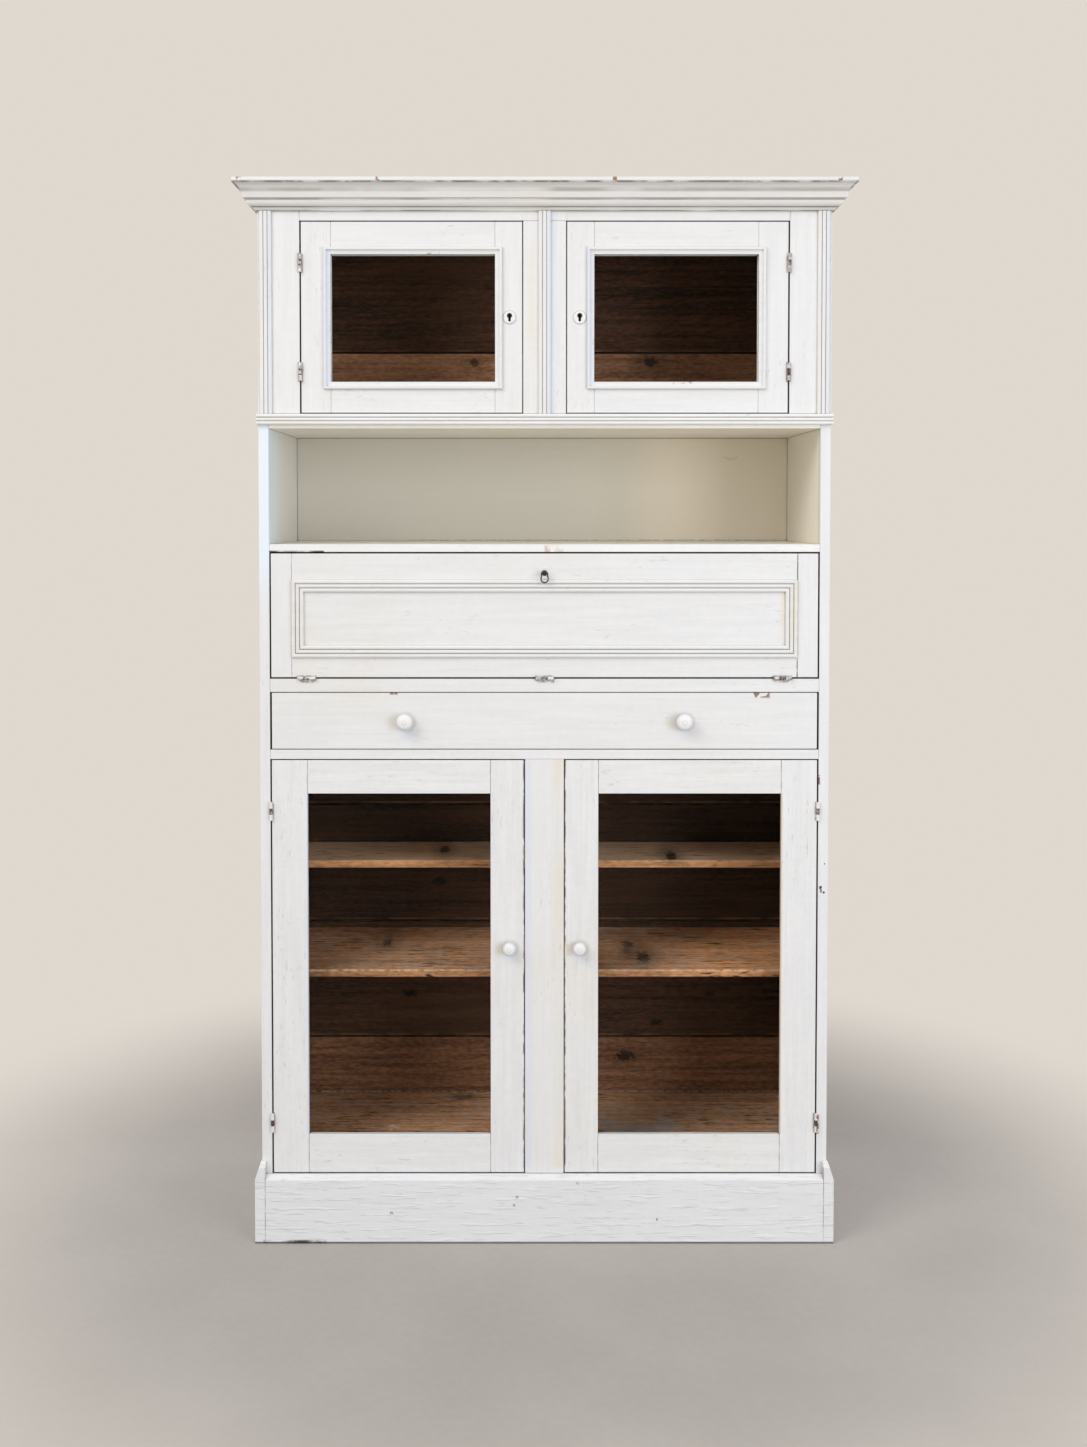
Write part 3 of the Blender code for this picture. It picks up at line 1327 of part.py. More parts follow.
def make_drawer():
    """The drawer: a thick front, a dovetailed box on runners and two turned knobs."""
    body = carrier("drawer_axis", (0.0, FACE_Y, DRAWER_Z))
    edge = INNER_HALF - DRAWER_SIDE_CLEARANCE
    foot, head = DRAWER_Z + DRAWER_CLEARANCE, FLAP_RAIL_Z - DRAWER_CLEARANCE
    box_foot = DRAWER_Z + SEAT
    side_head = box_foot + DRAWER_SIDE_HEIGHT
    box_front = REAR_OF_FRAME_Y + SEAT
    rear = PLANK_Y - DRAWER_REAR_SPACE
    inner = edge - DRAWER_SIDE
    front = block((-edge, FACE_Y, foot), (edge, REAR_OF_FRAME_Y, head), ARRIS)
    sockets = []
    shapes = []
    for _, side in SIDES:
        x0, x1 = span(side, inner, edge - SEAT)
        outline = [(box_front, box_foot), (rear, box_foot), (rear, side_head)]
        outline.append((box_front, side_head))
        for tail in tails(box_foot, box_front, 0.0):
            outline += tail
        shapes.append(prism([(x0, y, z) for y, z in outline], (x1 - x0, 0.0, 0.0)))
        s0, s1 = span(side, inner - SEAT, edge + CUT_OVERRUN)
        for socket in tails(box_foot, box_front, SEAT):
            sockets.append(prism([(s0, y, z) for y, z in socket], (s1 - s0, 0.0, 0.0)))
    knob_z = (foot + head) / 2
    places = (-DRAWER_KNOB_SPACING / 2, DRAWER_KNOB_SPACING / 2)
    for x in places:
        sockets.append(
            drum(
                (x, FACE_Y - CUT_OVERRUN, knob_z),
                (0.0, 1.0, 0.0),
                KNOB_TENON + SEAT,
                FRAME_THICK + 2 * CUT_OVERRUN,
                KNOB_SEGMENTS,
            )
        )
    bottom = box_foot + DRAWER_BOTTOM_RISE
    lap = inner + GROOVE_DEPTH
    shapes.append(
        block((-lap, box_front + SEAT, bottom), (lap, rear - ARRIS, bottom + DRAWER_BOTTOM))
    )
    shapes.append(
        block(
            (-lap, rear - GROOVE_DEPTH - DRAWER_BACK, bottom + DRAWER_BOTTOM / 2),
            (lap, rear - GROOVE_DEPTH, side_head - ARRIS),
        )
    )
    piece("drawer_front", cut(front, *sockets), "white_paint", body)
    piece("drawer_box", join(*shapes), "pale_pine", body)
    for (word, _), x in zip(SIDES, places):
        profile = [(-FRAME_THICK - SEAT, 0.0), (-FRAME_THICK - SEAT, KNOB_TENON), (0.0, KNOB_TENON)]
        profile += knob_profile(DRAWER_KNOB_DIAMETER, DRAWER_KNOB_LENGTH)
        knob = turned(profile, (x, FACE_Y - SEAT, knob_z), (0.0, -1.0, 0.0), KNOB_SEGMENTS)
        piece(f"drawer_knob_{word}", knob, "white_paint", body, smooth=True)


def main():
    """Clears the scene and builds every piece of the cupboard."""
    for old in list(bpy.data.objects):
        bpy.data.objects.remove(old)
    for name in FINISHES:
        make_material(name)
    make_side_panels()
    make_upper_face_frame()
    make_lower_face_frame()
    make_front_rails()
    make_boards()
    make_backs()
    make_cornice()
    make_planted_strips()
    make_plinth()
    for word, side in SIDES:
        make_upper_door(word, side)
        make_lower_door(word, side)
    make_flap()
    make_drawer()


main()
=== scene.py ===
"""Looks of a white painted pine kitchen cupboard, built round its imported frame.

The frame brings every board, door, moulding, hinge and lock at its real size. This
script gives each of them its finish, adds the small things that are only trim, such as
nail heads, screws, paint flakes and the flap's key plate, and sets the camera, the
floor and the light.
"""

import logging
import math
from dataclasses import dataclass, field, replace
from enum import Enum
from typing import Sequence, Union

import bpy
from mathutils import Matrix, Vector


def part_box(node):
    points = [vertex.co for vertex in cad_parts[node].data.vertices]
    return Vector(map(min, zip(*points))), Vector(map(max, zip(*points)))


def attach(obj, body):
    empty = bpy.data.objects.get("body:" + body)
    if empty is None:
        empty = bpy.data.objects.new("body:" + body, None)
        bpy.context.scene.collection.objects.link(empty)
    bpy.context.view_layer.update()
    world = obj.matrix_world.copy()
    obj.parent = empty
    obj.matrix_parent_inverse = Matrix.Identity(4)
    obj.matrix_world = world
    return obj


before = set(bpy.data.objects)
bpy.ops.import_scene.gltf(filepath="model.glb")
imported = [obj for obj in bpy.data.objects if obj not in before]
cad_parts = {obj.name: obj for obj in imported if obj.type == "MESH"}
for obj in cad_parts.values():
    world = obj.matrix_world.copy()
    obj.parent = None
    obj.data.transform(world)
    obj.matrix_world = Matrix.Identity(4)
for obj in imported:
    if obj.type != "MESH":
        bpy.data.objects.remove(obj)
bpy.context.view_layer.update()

LOG = logging.getLogger("cupboard")

MM = 0.001
FAR = 10.0

Socket = bpy.types.NodeSocket
Value = Union[float, Sequence[float], Socket]
Colour = tuple[float, float, float]
Point = tuple[float, float, float]


class Side(Enum):
    """The two hands of the cupboard, seen from the front."""

    LEFT = "left"
    RIGHT = "right"

    @property
    def sign(self) -> int:
        """Minus one on the left and one on the right."""
        return -1 if self is Side.LEFT else 1


class Run(Enum):
    """The way a board's grain and brush marks run: the order in which its axes are read."""

    ACROSS = "XYZ"
    DEPTHWISE = "YXZ"
    UPRIGHT = "ZYX"


# Node trees


class Sketch:
    """Adds nodes to one tree and links them."""

    def __init__(self, tree: bpy.types.NodeTree) -> None:
        """Starts on a tree.

        Args:
            tree: the tree that gets the nodes.
        """
        self.tree = tree

    def add(self, kind: str, inputs: dict | None = None, **settings) -> bpy.types.Node:
        """Adds a node.

        Args:
            kind: the node's type name.
            inputs: a constant or a socket for each named or numbered input.
            settings: the node's own properties.

        Returns:
            The new node.
        """
        node = self.tree.nodes.new(kind)
        for name, value in settings.items():
            setattr(node, name, value)
        for key, value in (inputs or {}).items():
            self.feed(node.inputs[key], value)
        return node

    def feed(self, socket: Socket, value: Value) -> None:
        """Links a socket to another, or sets its constant."""
        if isinstance(value, bpy.types.NodeSocket):
            self.tree.links.new(value, socket)
        elif socket.type == "RGBA" and len(value) == 3:
            socket.default_value = (*value, 1.0)
        else:
            socket.default_value = value

    def math(self, operation: str, *values: Value) -> Socket:
        """Puts numbers through one math operation and returns the result."""
        return self.add("ShaderNodeMath", dict(enumerate(values)), operation=operation).outputs[0]

    def total(self, *values: Value) -> Socket:
        """Adds up any count of numbers."""
        result = values[0]
        for value in values[1:]:
            result = self.math("ADD", result, value)
        return result

    def product(self, *values: Value) -> Socket:
        """Multiplies any count of numbers."""
        result = values[0]
        for value in values[1:]:
            result = self.math("MULTIPLY", result, value)
        return result

    def highest(self, *values: Value) -> Socket:
        """The highest of any count of numbers."""
        result = values[0]
        for value in values[1:]:
            result = self.math("MAXIMUM", result, value)
        return result

    def vector(self, operation: str, *values: Value) -> Socket:
        """Puts vectors through one vector operation and returns the resulting vector."""
        inputs = dict(enumerate(values))
        return self.add("ShaderNodeVectorMath", inputs, operation=operation).outputs[0]

    def length(self, value: Value) -> Socket:
        """The length of a vector."""
        return self.add("ShaderNodeVectorMath", {0: value}, operation="LENGTH").outputs["Value"]

    def split(self, value: Value) -> tuple[Socket, Socket, Socket]:
        """The three numbers of a vector."""
        return tuple(self.add("ShaderNodeSeparateXYZ", {0: value}).outputs)

    def join(self, x: Value, y: Value, z: Value) -> Socket:
        """A vector from three numbers."""
        return self.add("ShaderNodeCombineXYZ", {0: x, 1: y, 2: z}).outputs[0]

    def ease(self, value: Value, low: Value, high: Value, start: Value = 0.0, end: Value = 1.0) -> Socket:
        """Carries a number smoothly from start to end while it goes from low to high.

        Args:
            value: the number.
            low: where the change begins.
            high: where it ends.
            start: the result at low and before.
            end: the result at high and beyond.

        Returns:
            The eased number.
        """
        node = self.add("ShaderNodeMapRange", interpolation_type="SMOOTHSTEP")
        for place, number in enumerate((value, low, high, start, end)):
            self.feed(node.inputs[place], number)
        return node.outputs[0]

    def mix(self, share: Value, first: Value, second: Value, how: str = "MIX") -> Socket:
        """Mixes two colours.

        Args:
            share: how much of the second colour there is.
            first: the colour below.
            second: the colour above.
            how: the way they mix.

        Returns:
            The mixed colour.
        """
        node = self.add("ShaderNodeMix", data_type="RGBA", blend_type=how)
        self.feed(node.inputs[0], share)
        self.feed(node.inputs[6], first)
        self.feed(node.inputs[7], second)
        return node.outputs[2]

    def between(self, share: Value, first: Value, second: Value) -> Socket:
        """Mixes two numbers; share is the second one's."""
        node = self.add("ShaderNodeMix", data_type="FLOAT")
        self.feed(node.inputs[0], share)
        self.feed(node.inputs[2], first)
        self.feed(node.inputs[3], second)
        return node.outputs[0]

    def swap(self, share: Value, first: Value, second: Value) -> Socket:
        """Mixes two vectors; share is the second one's."""
        node = self.add("ShaderNodeMix", data_type="VECTOR")
        self.feed(node.inputs[0], share)
        self.feed(node.inputs[4], first)
        self.feed(node.inputs[5], second)
        return node.outputs[1]

    def noise(self, place: Value, per_metre: Value, detail: float = 2.0) -> Socket:
        """Soft noise from 0 to 1.

        Args:
            place: the coordinates, in metres.
            per_metre: one frequency, or three along the place's own axes.
            detail: how many finer layers it has.

        Returns:
            The noise as a number.
        """
        if isinstance(per_metre, (int, float)):
            per_metre = (per_metre,) * 3
        scaled = self.vector("MULTIPLY", place, per_metre)
        return self.add("ShaderNodeTexNoise", {"Vector": scaled, "Scale": 1.0, "Detail": detail}).outputs[0]

    def cells(self, place: Value, per_metre: Value) -> bpy.types.bpy_prop_collection:
        """Scattered points: how far the nearest one is, in cells, and its own random colour.

        Args:
            place: the coordinates, in metres.
            per_metre: three frequencies along the place's own axes.

        Returns:
            The outputs of the cell texture.
        """
        scaled = self.vector("MULTIPLY", place, per_metre)
        return self.add("ShaderNodeTexVoronoi", {"Vector": scaled, "Scale": 1.0}).outputs


@dataclass(frozen=True)
class Plug:
    """A named socket of a shader group."""

    name: str
    kind: str = "Float"


NUMBER = "Float"
VECTOR = "Vector"
COLOUR = "Color"


class Effect:
    """A shader group that more than one finish places with its own values."""

    title: str = ""
    takes: tuple[Plug, ...] = ()
    gives: tuple[Plug, ...] = ()

    def __init__(self) -> None:
        """Builds the group once."""
        self.group = bpy.data.node_groups.new(self.title, "ShaderNodeTree")
        for way, plugs in (("INPUT", self.takes), ("OUTPUT", self.gives)):
            for plug in plugs:
                self.group.interface.new_socket(
                    plug.name, in_out=way, socket_type=f"NodeSocket{plug.kind}"
                )
        sketch = Sketch(self.group)
        made = self.draw(sketch, sketch.add("NodeGroupInput").outputs)
        sketch.add("NodeGroupOutput", made)

    def draw(self, s: Sketch, given: bpy.types.bpy_prop_collection) -> dict[str, Value]:
        """Draws the group's nodes.

        Args:
            s: the sketch of the group's tree.
            given: the group's inputs by name.

        Returns:
            A socket for each output by name.
        """
        raise NotImplementedError

    def place(self, s: Sketch, inputs: dict[str, Value]) -> bpy.types.bpy_prop_collection:
        """Places the group in a tree.

        Args:
            s: the sketch of that tree.
            inputs: a constant or a socket for each named input.

        Returns:
            The outputs by name.
        """
        return s.add("ShaderNodeGroup", inputs, node_tree=self.group).outputs


class Zone(Effect):
    """A box of the object with a soft border."""

    title = "zone"
    takes = (Plug("Place", VECTOR), Plug("Centre", VECTOR), Plug("Half", VECTOR), Plug("Feather"))
    gives = (Plug("Share"),)

    def draw(self, s: Sketch, given: bpy.types.bpy_prop_collection) -> dict[str, Value]:
        """The share is one inside the box and fades out over the feather.

        Args:
            s: the sketch of the group's tree.
            given: the group's inputs by name.

        Returns:
            The share.
        """
        off = s.vector("ABSOLUTE", s.vector("SUBTRACT", given["Place"], given["Centre"]))
        x, y, z = s.split(s.vector("SUBTRACT", off, given["Half"]))
        return {"Share": s.ease(s.highest(x, y, z), 0.0, given["Feather"], 1.0, 0.0)}


class Brushed(Effect):
    """Old household paint, laid on with a brush along the board."""

    title = "brushed paint"
    takes = (
        Plug("Place", VECTOR),
        Plug("Fresh", COLOUR),
        Plug("Aged", COLOUR),
        Plug("Ageing"),
        Plug("Relief"),
        Plug("Ridges"),
    )
    gives = (Plug("Colour", COLOUR), Plug("Roughness"), Plug("Height"))

    def draw(self, s: Sketch, given: bpy.types.bpy_prop_collection) -> dict[str, Value]:
        """Clouds of ageing, bristle lines with painted shade and highlight, and the grain of the wood that shows
        through.

        Args:
            s: the sketch of the group's tree.
            given: the group's inputs by name.

        Returns:
            The colour, the roughness and the height.
        """
        place = given["Place"]
        cloud = s.noise(place, 2.6, 3.0)
        stroke = s.noise(place, (7.0, 75.0, 75.0), 2.0)
        streak = s.noise(place, (6.0, 230.0, 230.0), 3.0)
        grain = s.noise(place, (14.0, 620.0, 620.0), 2.0)
        lumps = s.noise(place, 75.0, 2.0)
        scuff = s.product(
            s.ease(s.noise(place, (55.0, 240.0, 240.0), 3.0), 0.64, 0.70),
            s.ease(s.noise(place, (5.0, 11.0, 11.0), 1.0), 0.50, 0.62),
        )
        aged = s.math("ADD", s.ease(cloud, 0.5, 0.78, 0.0, 0.35), given["Ageing"])
        colour = s.mix(aged, given["Fresh"], given["Aged"])
        # Strokes, streaks, lumps, ridges and furrows shade the colour: partly the paint's own tone and scuff marks,
        # partly painted shade and highlight of the brush relief.
        uneven = s.total(
            s.ease(streak, 0.25, 0.75, -0.035, 0.01),
            s.ease(stroke, 0.3, 0.7, -0.025, 0.018),
            s.ease(lumps, 0.3, 0.7, -0.012, 0.012),
            s.product(scuff, -0.16),
        )
        ridge = s.product(s.ease(s.noise(place, (13.0, 120.0, 120.0), 3.0), 0.56, 0.64), given["Ridges"])
        furrow = s.product(s.ease(s.noise(place, (19.0, 210.0, 210.0), 3.0), 0.63, 0.68), given["Ridges"])
        shade = s.total(0.99, s.product(uneven, given["Relief"]), s.product(ridge, 0.035), s.product(furrow, -0.13))
        colour = s.mix(1.0, colour, s.join(shade, shade, shade), "MULTIPLY")
        height = s.total(
            s.product(streak, 0.5),
            s.product(stroke, 0.9),
            s.product(grain, 0.2),
            s.product(lumps, 0.5),
            s.product(scuff, -0.6),
        )
        height = s.total(s.product(height, given["Relief"]), s.product(ridge, 0.9), s.product(furrow, -0.5))
        rough = s.total(s.ease(cloud, 0.3, 0.7, 0.40, 0.52), s.ease(streak, 0.3, 0.7, -0.03, 0.03))
        return {"Colour": colour, "Roughness": rough, "Height": height}


class Grain(Effect):
    """Flat sawn pine: growth rings drawn out along the board, fibres and scattered knots."""

    title = "pine grain"
    takes = (
        Plug("Place", VECTOR),
        Plug("Early", COLOUR),
        Plug("Late", COLOUR),
        Plug("Knots"),
    )
    gives = (Plug("Colour", COLOUR), Plug("Height"))

    def draw(self, s: Sketch, given: bpy.types.bpy_prop_collection) -> dict[str, Value]:
        """Rings bend round each knot, and the knots are darker at the rim.

        Args:
            s: the sketch of the group's tree.
            given: the group's inputs by name.

        Returns:
            The colour and the height.
        """
        place = given["Place"]
        seen = s.cells(place, (2.3, 5.5, 5.5))
        chance = s.split(seen["Color"])[0]
        real = s.product(s.ease(chance, 0.56, 0.58), given["Knots"])
        near = s.product(s.ease(seen["Distance"], 0.0, 0.30, 1.0, 0.0), real)
        core = s.product(s.ease(seen["Distance"], 0.045, 0.085, 1.0, 0.0), real)
        drift = s.noise(place, (0.9, 7.0, 7.0), 1.0)
        rings = s.math("SINE", s.total(s.math("MULTIPLY", drift, 130.0), s.math("MULTIPLY", near, 16.0)))
        late = s.ease(rings, 0.25, 1.0)
        streak = s.noise(place, (2.2, 85.0, 85.0), 3.0)
        check = s.ease(s.noise(place, (7.0, 330.0, 330.0), 2.0), 0.64, 0.72)
        fibre = s.noise(place, (16.0, 700.0, 700.0), 2.0)
        tone = s.noise(place, (1.6, 9.0, 9.0), 2.0)
        mottle = s.noise(place, (70.0, 190.0, 190.0), 4.0)
        share = s.total(
            s.math("MULTIPLY", late, 0.13),
            s.ease(fibre, 0.3, 0.75, 0.0, 0.26),
            s.ease(mottle, 0.32, 0.68, -0.14, 0.34),
            s.ease(tone, 0.3, 0.7, -0.1, 0.22),
            s.ease(streak, 0.32, 0.68, -0.05, 0.42),
        )
        colour = s.mix(share, given["Early"], given["Late"])
        dark = s.highest(s.product(core, 0.85), s.product(check, 0.6), s.product(s.ease(near, 0.3, 1.0), 0.3))
        colour = s.mix(dark, colour, (0.020, 0.011, 0.007))
        height = s.total(s.product(late, 0.4), s.product(fibre, 0.5), s.product(streak, 0.5), s.product(check, -0.6))
        return {"Colour": colour, "Height": height}


class Knot(Effect):
    """One knot at a known place of a board."""

    title = "single knot"
    takes = (Plug("Place", VECTOR), Plug("Centre", VECTOR), Plug("Radius"))
    gives = (Plug("Core"), Plug("Halo"))

    def draw(self, s: Sketch, given: bpy.types.bpy_prop_collection) -> dict[str, Value]:
        """A ragged core with cracks, and a halo where the grain darkens.

        Args:
            s: the sketch of the group's tree.
            given: the group's inputs by name.

        Returns:
            The core's share and the halo's.
        """
        ragged = s.noise(given["Place"], 120.0, 3.0)
        away = s.vector("MULTIPLY", s.vector("SUBTRACT", given["Place"], given["Centre"]), (0.7, 0.2, 1.3))
        reach = s.math("DIVIDE", s.length(away), given["Radius"])
        reach = s.total(reach, s.ease(ragged, 0.2, 0.8, -0.45, 0.45))
        return {"Core": s.ease(reach, 0.55, 1.0, 1.0, 0.0), "Halo": s.ease(reach, 0.8, 3.2, 1.0, 0.0)}


class Wear(Effect):
    """Where rubbing and knocks have taken the finish off, chiefly along edges."""

    title = "edge wear"
    takes = (Plug("Place", VECTOR), Plug("Edge"), Plug("Amount"))
    gives = (Plug("Bare"),)

    def draw(self, s: Sketch, given: bpy.types.bpy_prop_collection) -> dict[str, Value]:
        """Two sizes of noise break the edge into chips.

        Args:
            s: the sketch of the group's tree.
            given: the group's inputs by name.

        Returns:
            The share of bare surface.
        """
        patchy = s.noise(given["Place"], 9.0, 2.0)
        chips = s.noise(given["Place"], 210.0, 3.0)
        reach = s.total(
            given["Edge"],
            s.ease(patchy, 0.35, 0.75, -0.35, 0.25),
            s.ease(chips, 0.3, 0.7, -0.3, 0.3),
            given["Amount"],
        )
        return {"Bare": s.ease(reach, 0.93, 1.02)}


class Specks(Effect):
    """Scattered small marks: fly spots, dents and splashes."""

    title = "specks"
    takes = (Plug("Place", VECTOR), Plug("PerMetre", VECTOR), Plug("Size"), Plug("Chance"))
    gives = (Plug("Mark"),)

    def draw(self, s: Sketch, given: bpy.types.bpy_prop_collection) -> dict[str, Value]:
        """One mark in some of the cells.

        Args:
            s: the sketch of the group's tree.
            given: the group's inputs by name.

        Returns:
            The marks' share.
        """
        seen = s.cells(given["Place"], given["PerMetre"])
        chance, size, _ = s.split(seen["Color"])
        there = s.math("LESS_THAN", chance, given["Chance"])
        rim = s.product(given["Size"], s.ease(size, 0.0, 1.0, 0.4, 1.0))
        mark = s.ease(seen["Distance"], s.math("MULTIPLY", rim, 0.6), rim, 1.0, 0.0)
        return {"Mark": s.product(mark, there)}


class Workshop:
    """Holds every shader group, so that each is built once."""

    def __init__(self) -> None:
        """Builds the groups."""
        self.zone = Zone()
        self.brushed = Brushed()
        self.grain = Grain()
        self.knot = Knot()
        self.wear = Wear()
        self.specks = Specks()


# Finishes

WHITE_PAINT = (0.822, 0.823, 0.828)
AGED_WHITE = (0.78, 0.735, 0.63)
CREAM_PAINT = (0.86, 0.825, 0.735)
AGED_CREAM = (0.80, 0.75, 0.63)
# Painted warm light: a cream tint on faces turned to the warm light from the left.
WARM_LIGHT_TINT = (0.80, 0.66, 0.42)
# Painted cool shade: a bluish tint on faces turned away from the warm light, towards the cool light from the right.
COOL_SHADE_TINT = (0.62, 0.70, 0.86)
BARE_PINE = (0.36, 0.23, 0.17)
RUST = (0.085, 0.042, 0.022)
# Grime and painted shade: the colour that crevices, corners and hollows darken towards.
GRIME_AND_SHADE = (0.10, 0.075, 0.055)
DUST = (0.45, 0.40, 0.34)
OLD_PINE = (0.40, 0.205, 0.085)
OLD_PINE_LATE = (0.19, 0.085, 0.032)
PALE_PINE = (0.62, 0.43, 0.235)
PALE_PINE_LATE = (0.44, 0.26, 0.11)

EDGE_REACH = 3.5 * MM
BOARD_RECESS = 27.0 * MM
SHADE_SAMPLES = 6
BUMP_DEPTH = 0.6 * MM


@dataclass(frozen=True)
class Area:
    """A box of the object, in millimetres, with a feather round it."""

    low: Point
    high: Point
    feather: float = 1.0

    def share(self, s: Sketch, shop: Workshop, place: Socket) -> Socket:
        """One inside the area, and less over its feather.

        Args:
            s: the sketch of the material.
            shop: the shader groups.
            place: the object coordinates.

        Returns:
            The share.
        """
        low, high = Vector(self.low), Vector(self.high)
        inputs = {
            "Place": place,
            "Centre": (low + high) / 2 * MM,
            "Half": (high - low) / 2 * MM,
            "Feather": self.feather * MM,
        }
        return shop.zone.place(s, inputs)["Share"]


@dataclass(frozen=True)
class Disc:
    """A ball of the object, in millimetres, with a feather round it."""

    centre: Point
    radius: float
    feather: float = 1.0

    def share(self, s: Sketch, shop: Workshop, place: Socket) -> Socket:
        """One inside the ball, and less over its feather.

        Args:
            s: the sketch of the material.
            shop: the shader groups.
            place: the object coordinates.

        Returns:
            The share.
        """
        away = s.length(s.vector("SUBTRACT", place, Vector(self.centre) * MM))
        return s.ease(away, self.radius * MM, (self.radius + self.feather) * MM, 1.0, 0.0)


@dataclass(frozen=True)
class Rim:
    """The edge faces of a door or flap, behind its front: all that lies outside an inner box."""

    low: tuple[float, float]
    high: tuple[float, float]
    front: float = -175.4

    def share(self, s: Sketch, shop: Workshop, place: Socket) -> Socket:
        """One on the edge faces, and nought on the front and inside.

        Args:
            s: the sketch of the material.
            shop: the shader groups.
            place: the object coordinates.

        Returns:
            The share.
        """
        (x0, z0), (x1, z1) = self.low, self.high
        inner = Area((x0, -FAR / MM, z0), (x1, FAR / MM, z1), 0.2).share(s, shop, place)
        depth = s.split(place)[1]
        behind = s.ease(depth, (self.front - 0.6) * MM, (self.front + 0.6) * MM)
        return s.product(s.math("SUBTRACT", 1.0, inner), behind)


@dataclass(frozen=True)
class Tint:
    """An area where the paint's colour is another."""

    area: Union[Area, Disc, Rim]
    colour: Colour
    strength: float = 0.5
    ragged: float = 0.0


@dataclass(frozen=True)
class OtherBoard:
    """A board of another tone within one node."""

    area: Area
    early: Colour
    late: Colour


@dataclass(frozen=True)
class KnotAt:
    """A knot that the photograph shows, in millimetres."""

    centre: Point
    radius: float
    strength: float = 0.85


def new_material(name: str) -> tuple[bpy.types.Material, Sketch]:
    """Makes an empty node material.

    Args:
        name: the material's name.

    Returns:
        The material and a sketch of its tree.
    """
    material = bpy.data.materials.new(name)
    material.use_nodes = True
    material.node_tree.nodes.clear()
    return material, Sketch(material.node_tree)


def finish_surface(s: Sketch, inputs: dict[str, Value], height: Value, depth: float) -> bpy.types.Node:
    """Adds the main shader with a bump.

    Args:
        s: the sketch of the material.
        inputs: what the shader's sockets get.
        height: the surface's height, from 0 to 1.
        depth: how deep the bump is, in metres.

    Returns:
        The shader's node.
    """
    bump = s.add("ShaderNodeBump", {"Height": height, "Distance": depth, "Strength": 1.0})
    shader = s.add("ShaderNodeBsdfPrincipled", {**inputs, "Normal": bump.outputs[0]})
    s.add("ShaderNodeOutputMaterial", {"Surface": shader.outputs[0]})
    return shader


def along(s: Sketch, place: Socket, run: Run) -> Socket:
    """Object coordinates with the first one along the grain.

    Args:
        s: the sketch of the material.
        place: the object coordinates.
        run: the way the grain runs.

    Returns:
        The coordinates in the grain's order.
    """
    if run is Run.ACROSS:
        return place
    axes = dict(zip("XYZ", s.split(place)))
    return s.join(*(axes[letter] for letter in run.value))


def nearness(s: Sketch, reach: float, inside: bool) -> Socket:
    """How near the surface is to an edge, or to a corner that catches dirt.

    Args:
        s: the sketch of the material.
        reach: how far to look, in metres.
        inside: looks into the piece, which finds its edges.

    Returns:
        Nought on open surface and more near an edge or corner.
    """
    node = s.add(
        "ShaderNodeAmbientOcclusion", {"Distance": reach}, inside=inside, only_local=inside, samples=SHADE_SAMPLES
    )
    return s.math("SUBTRACT", 1.0, node.outputs["AO"])


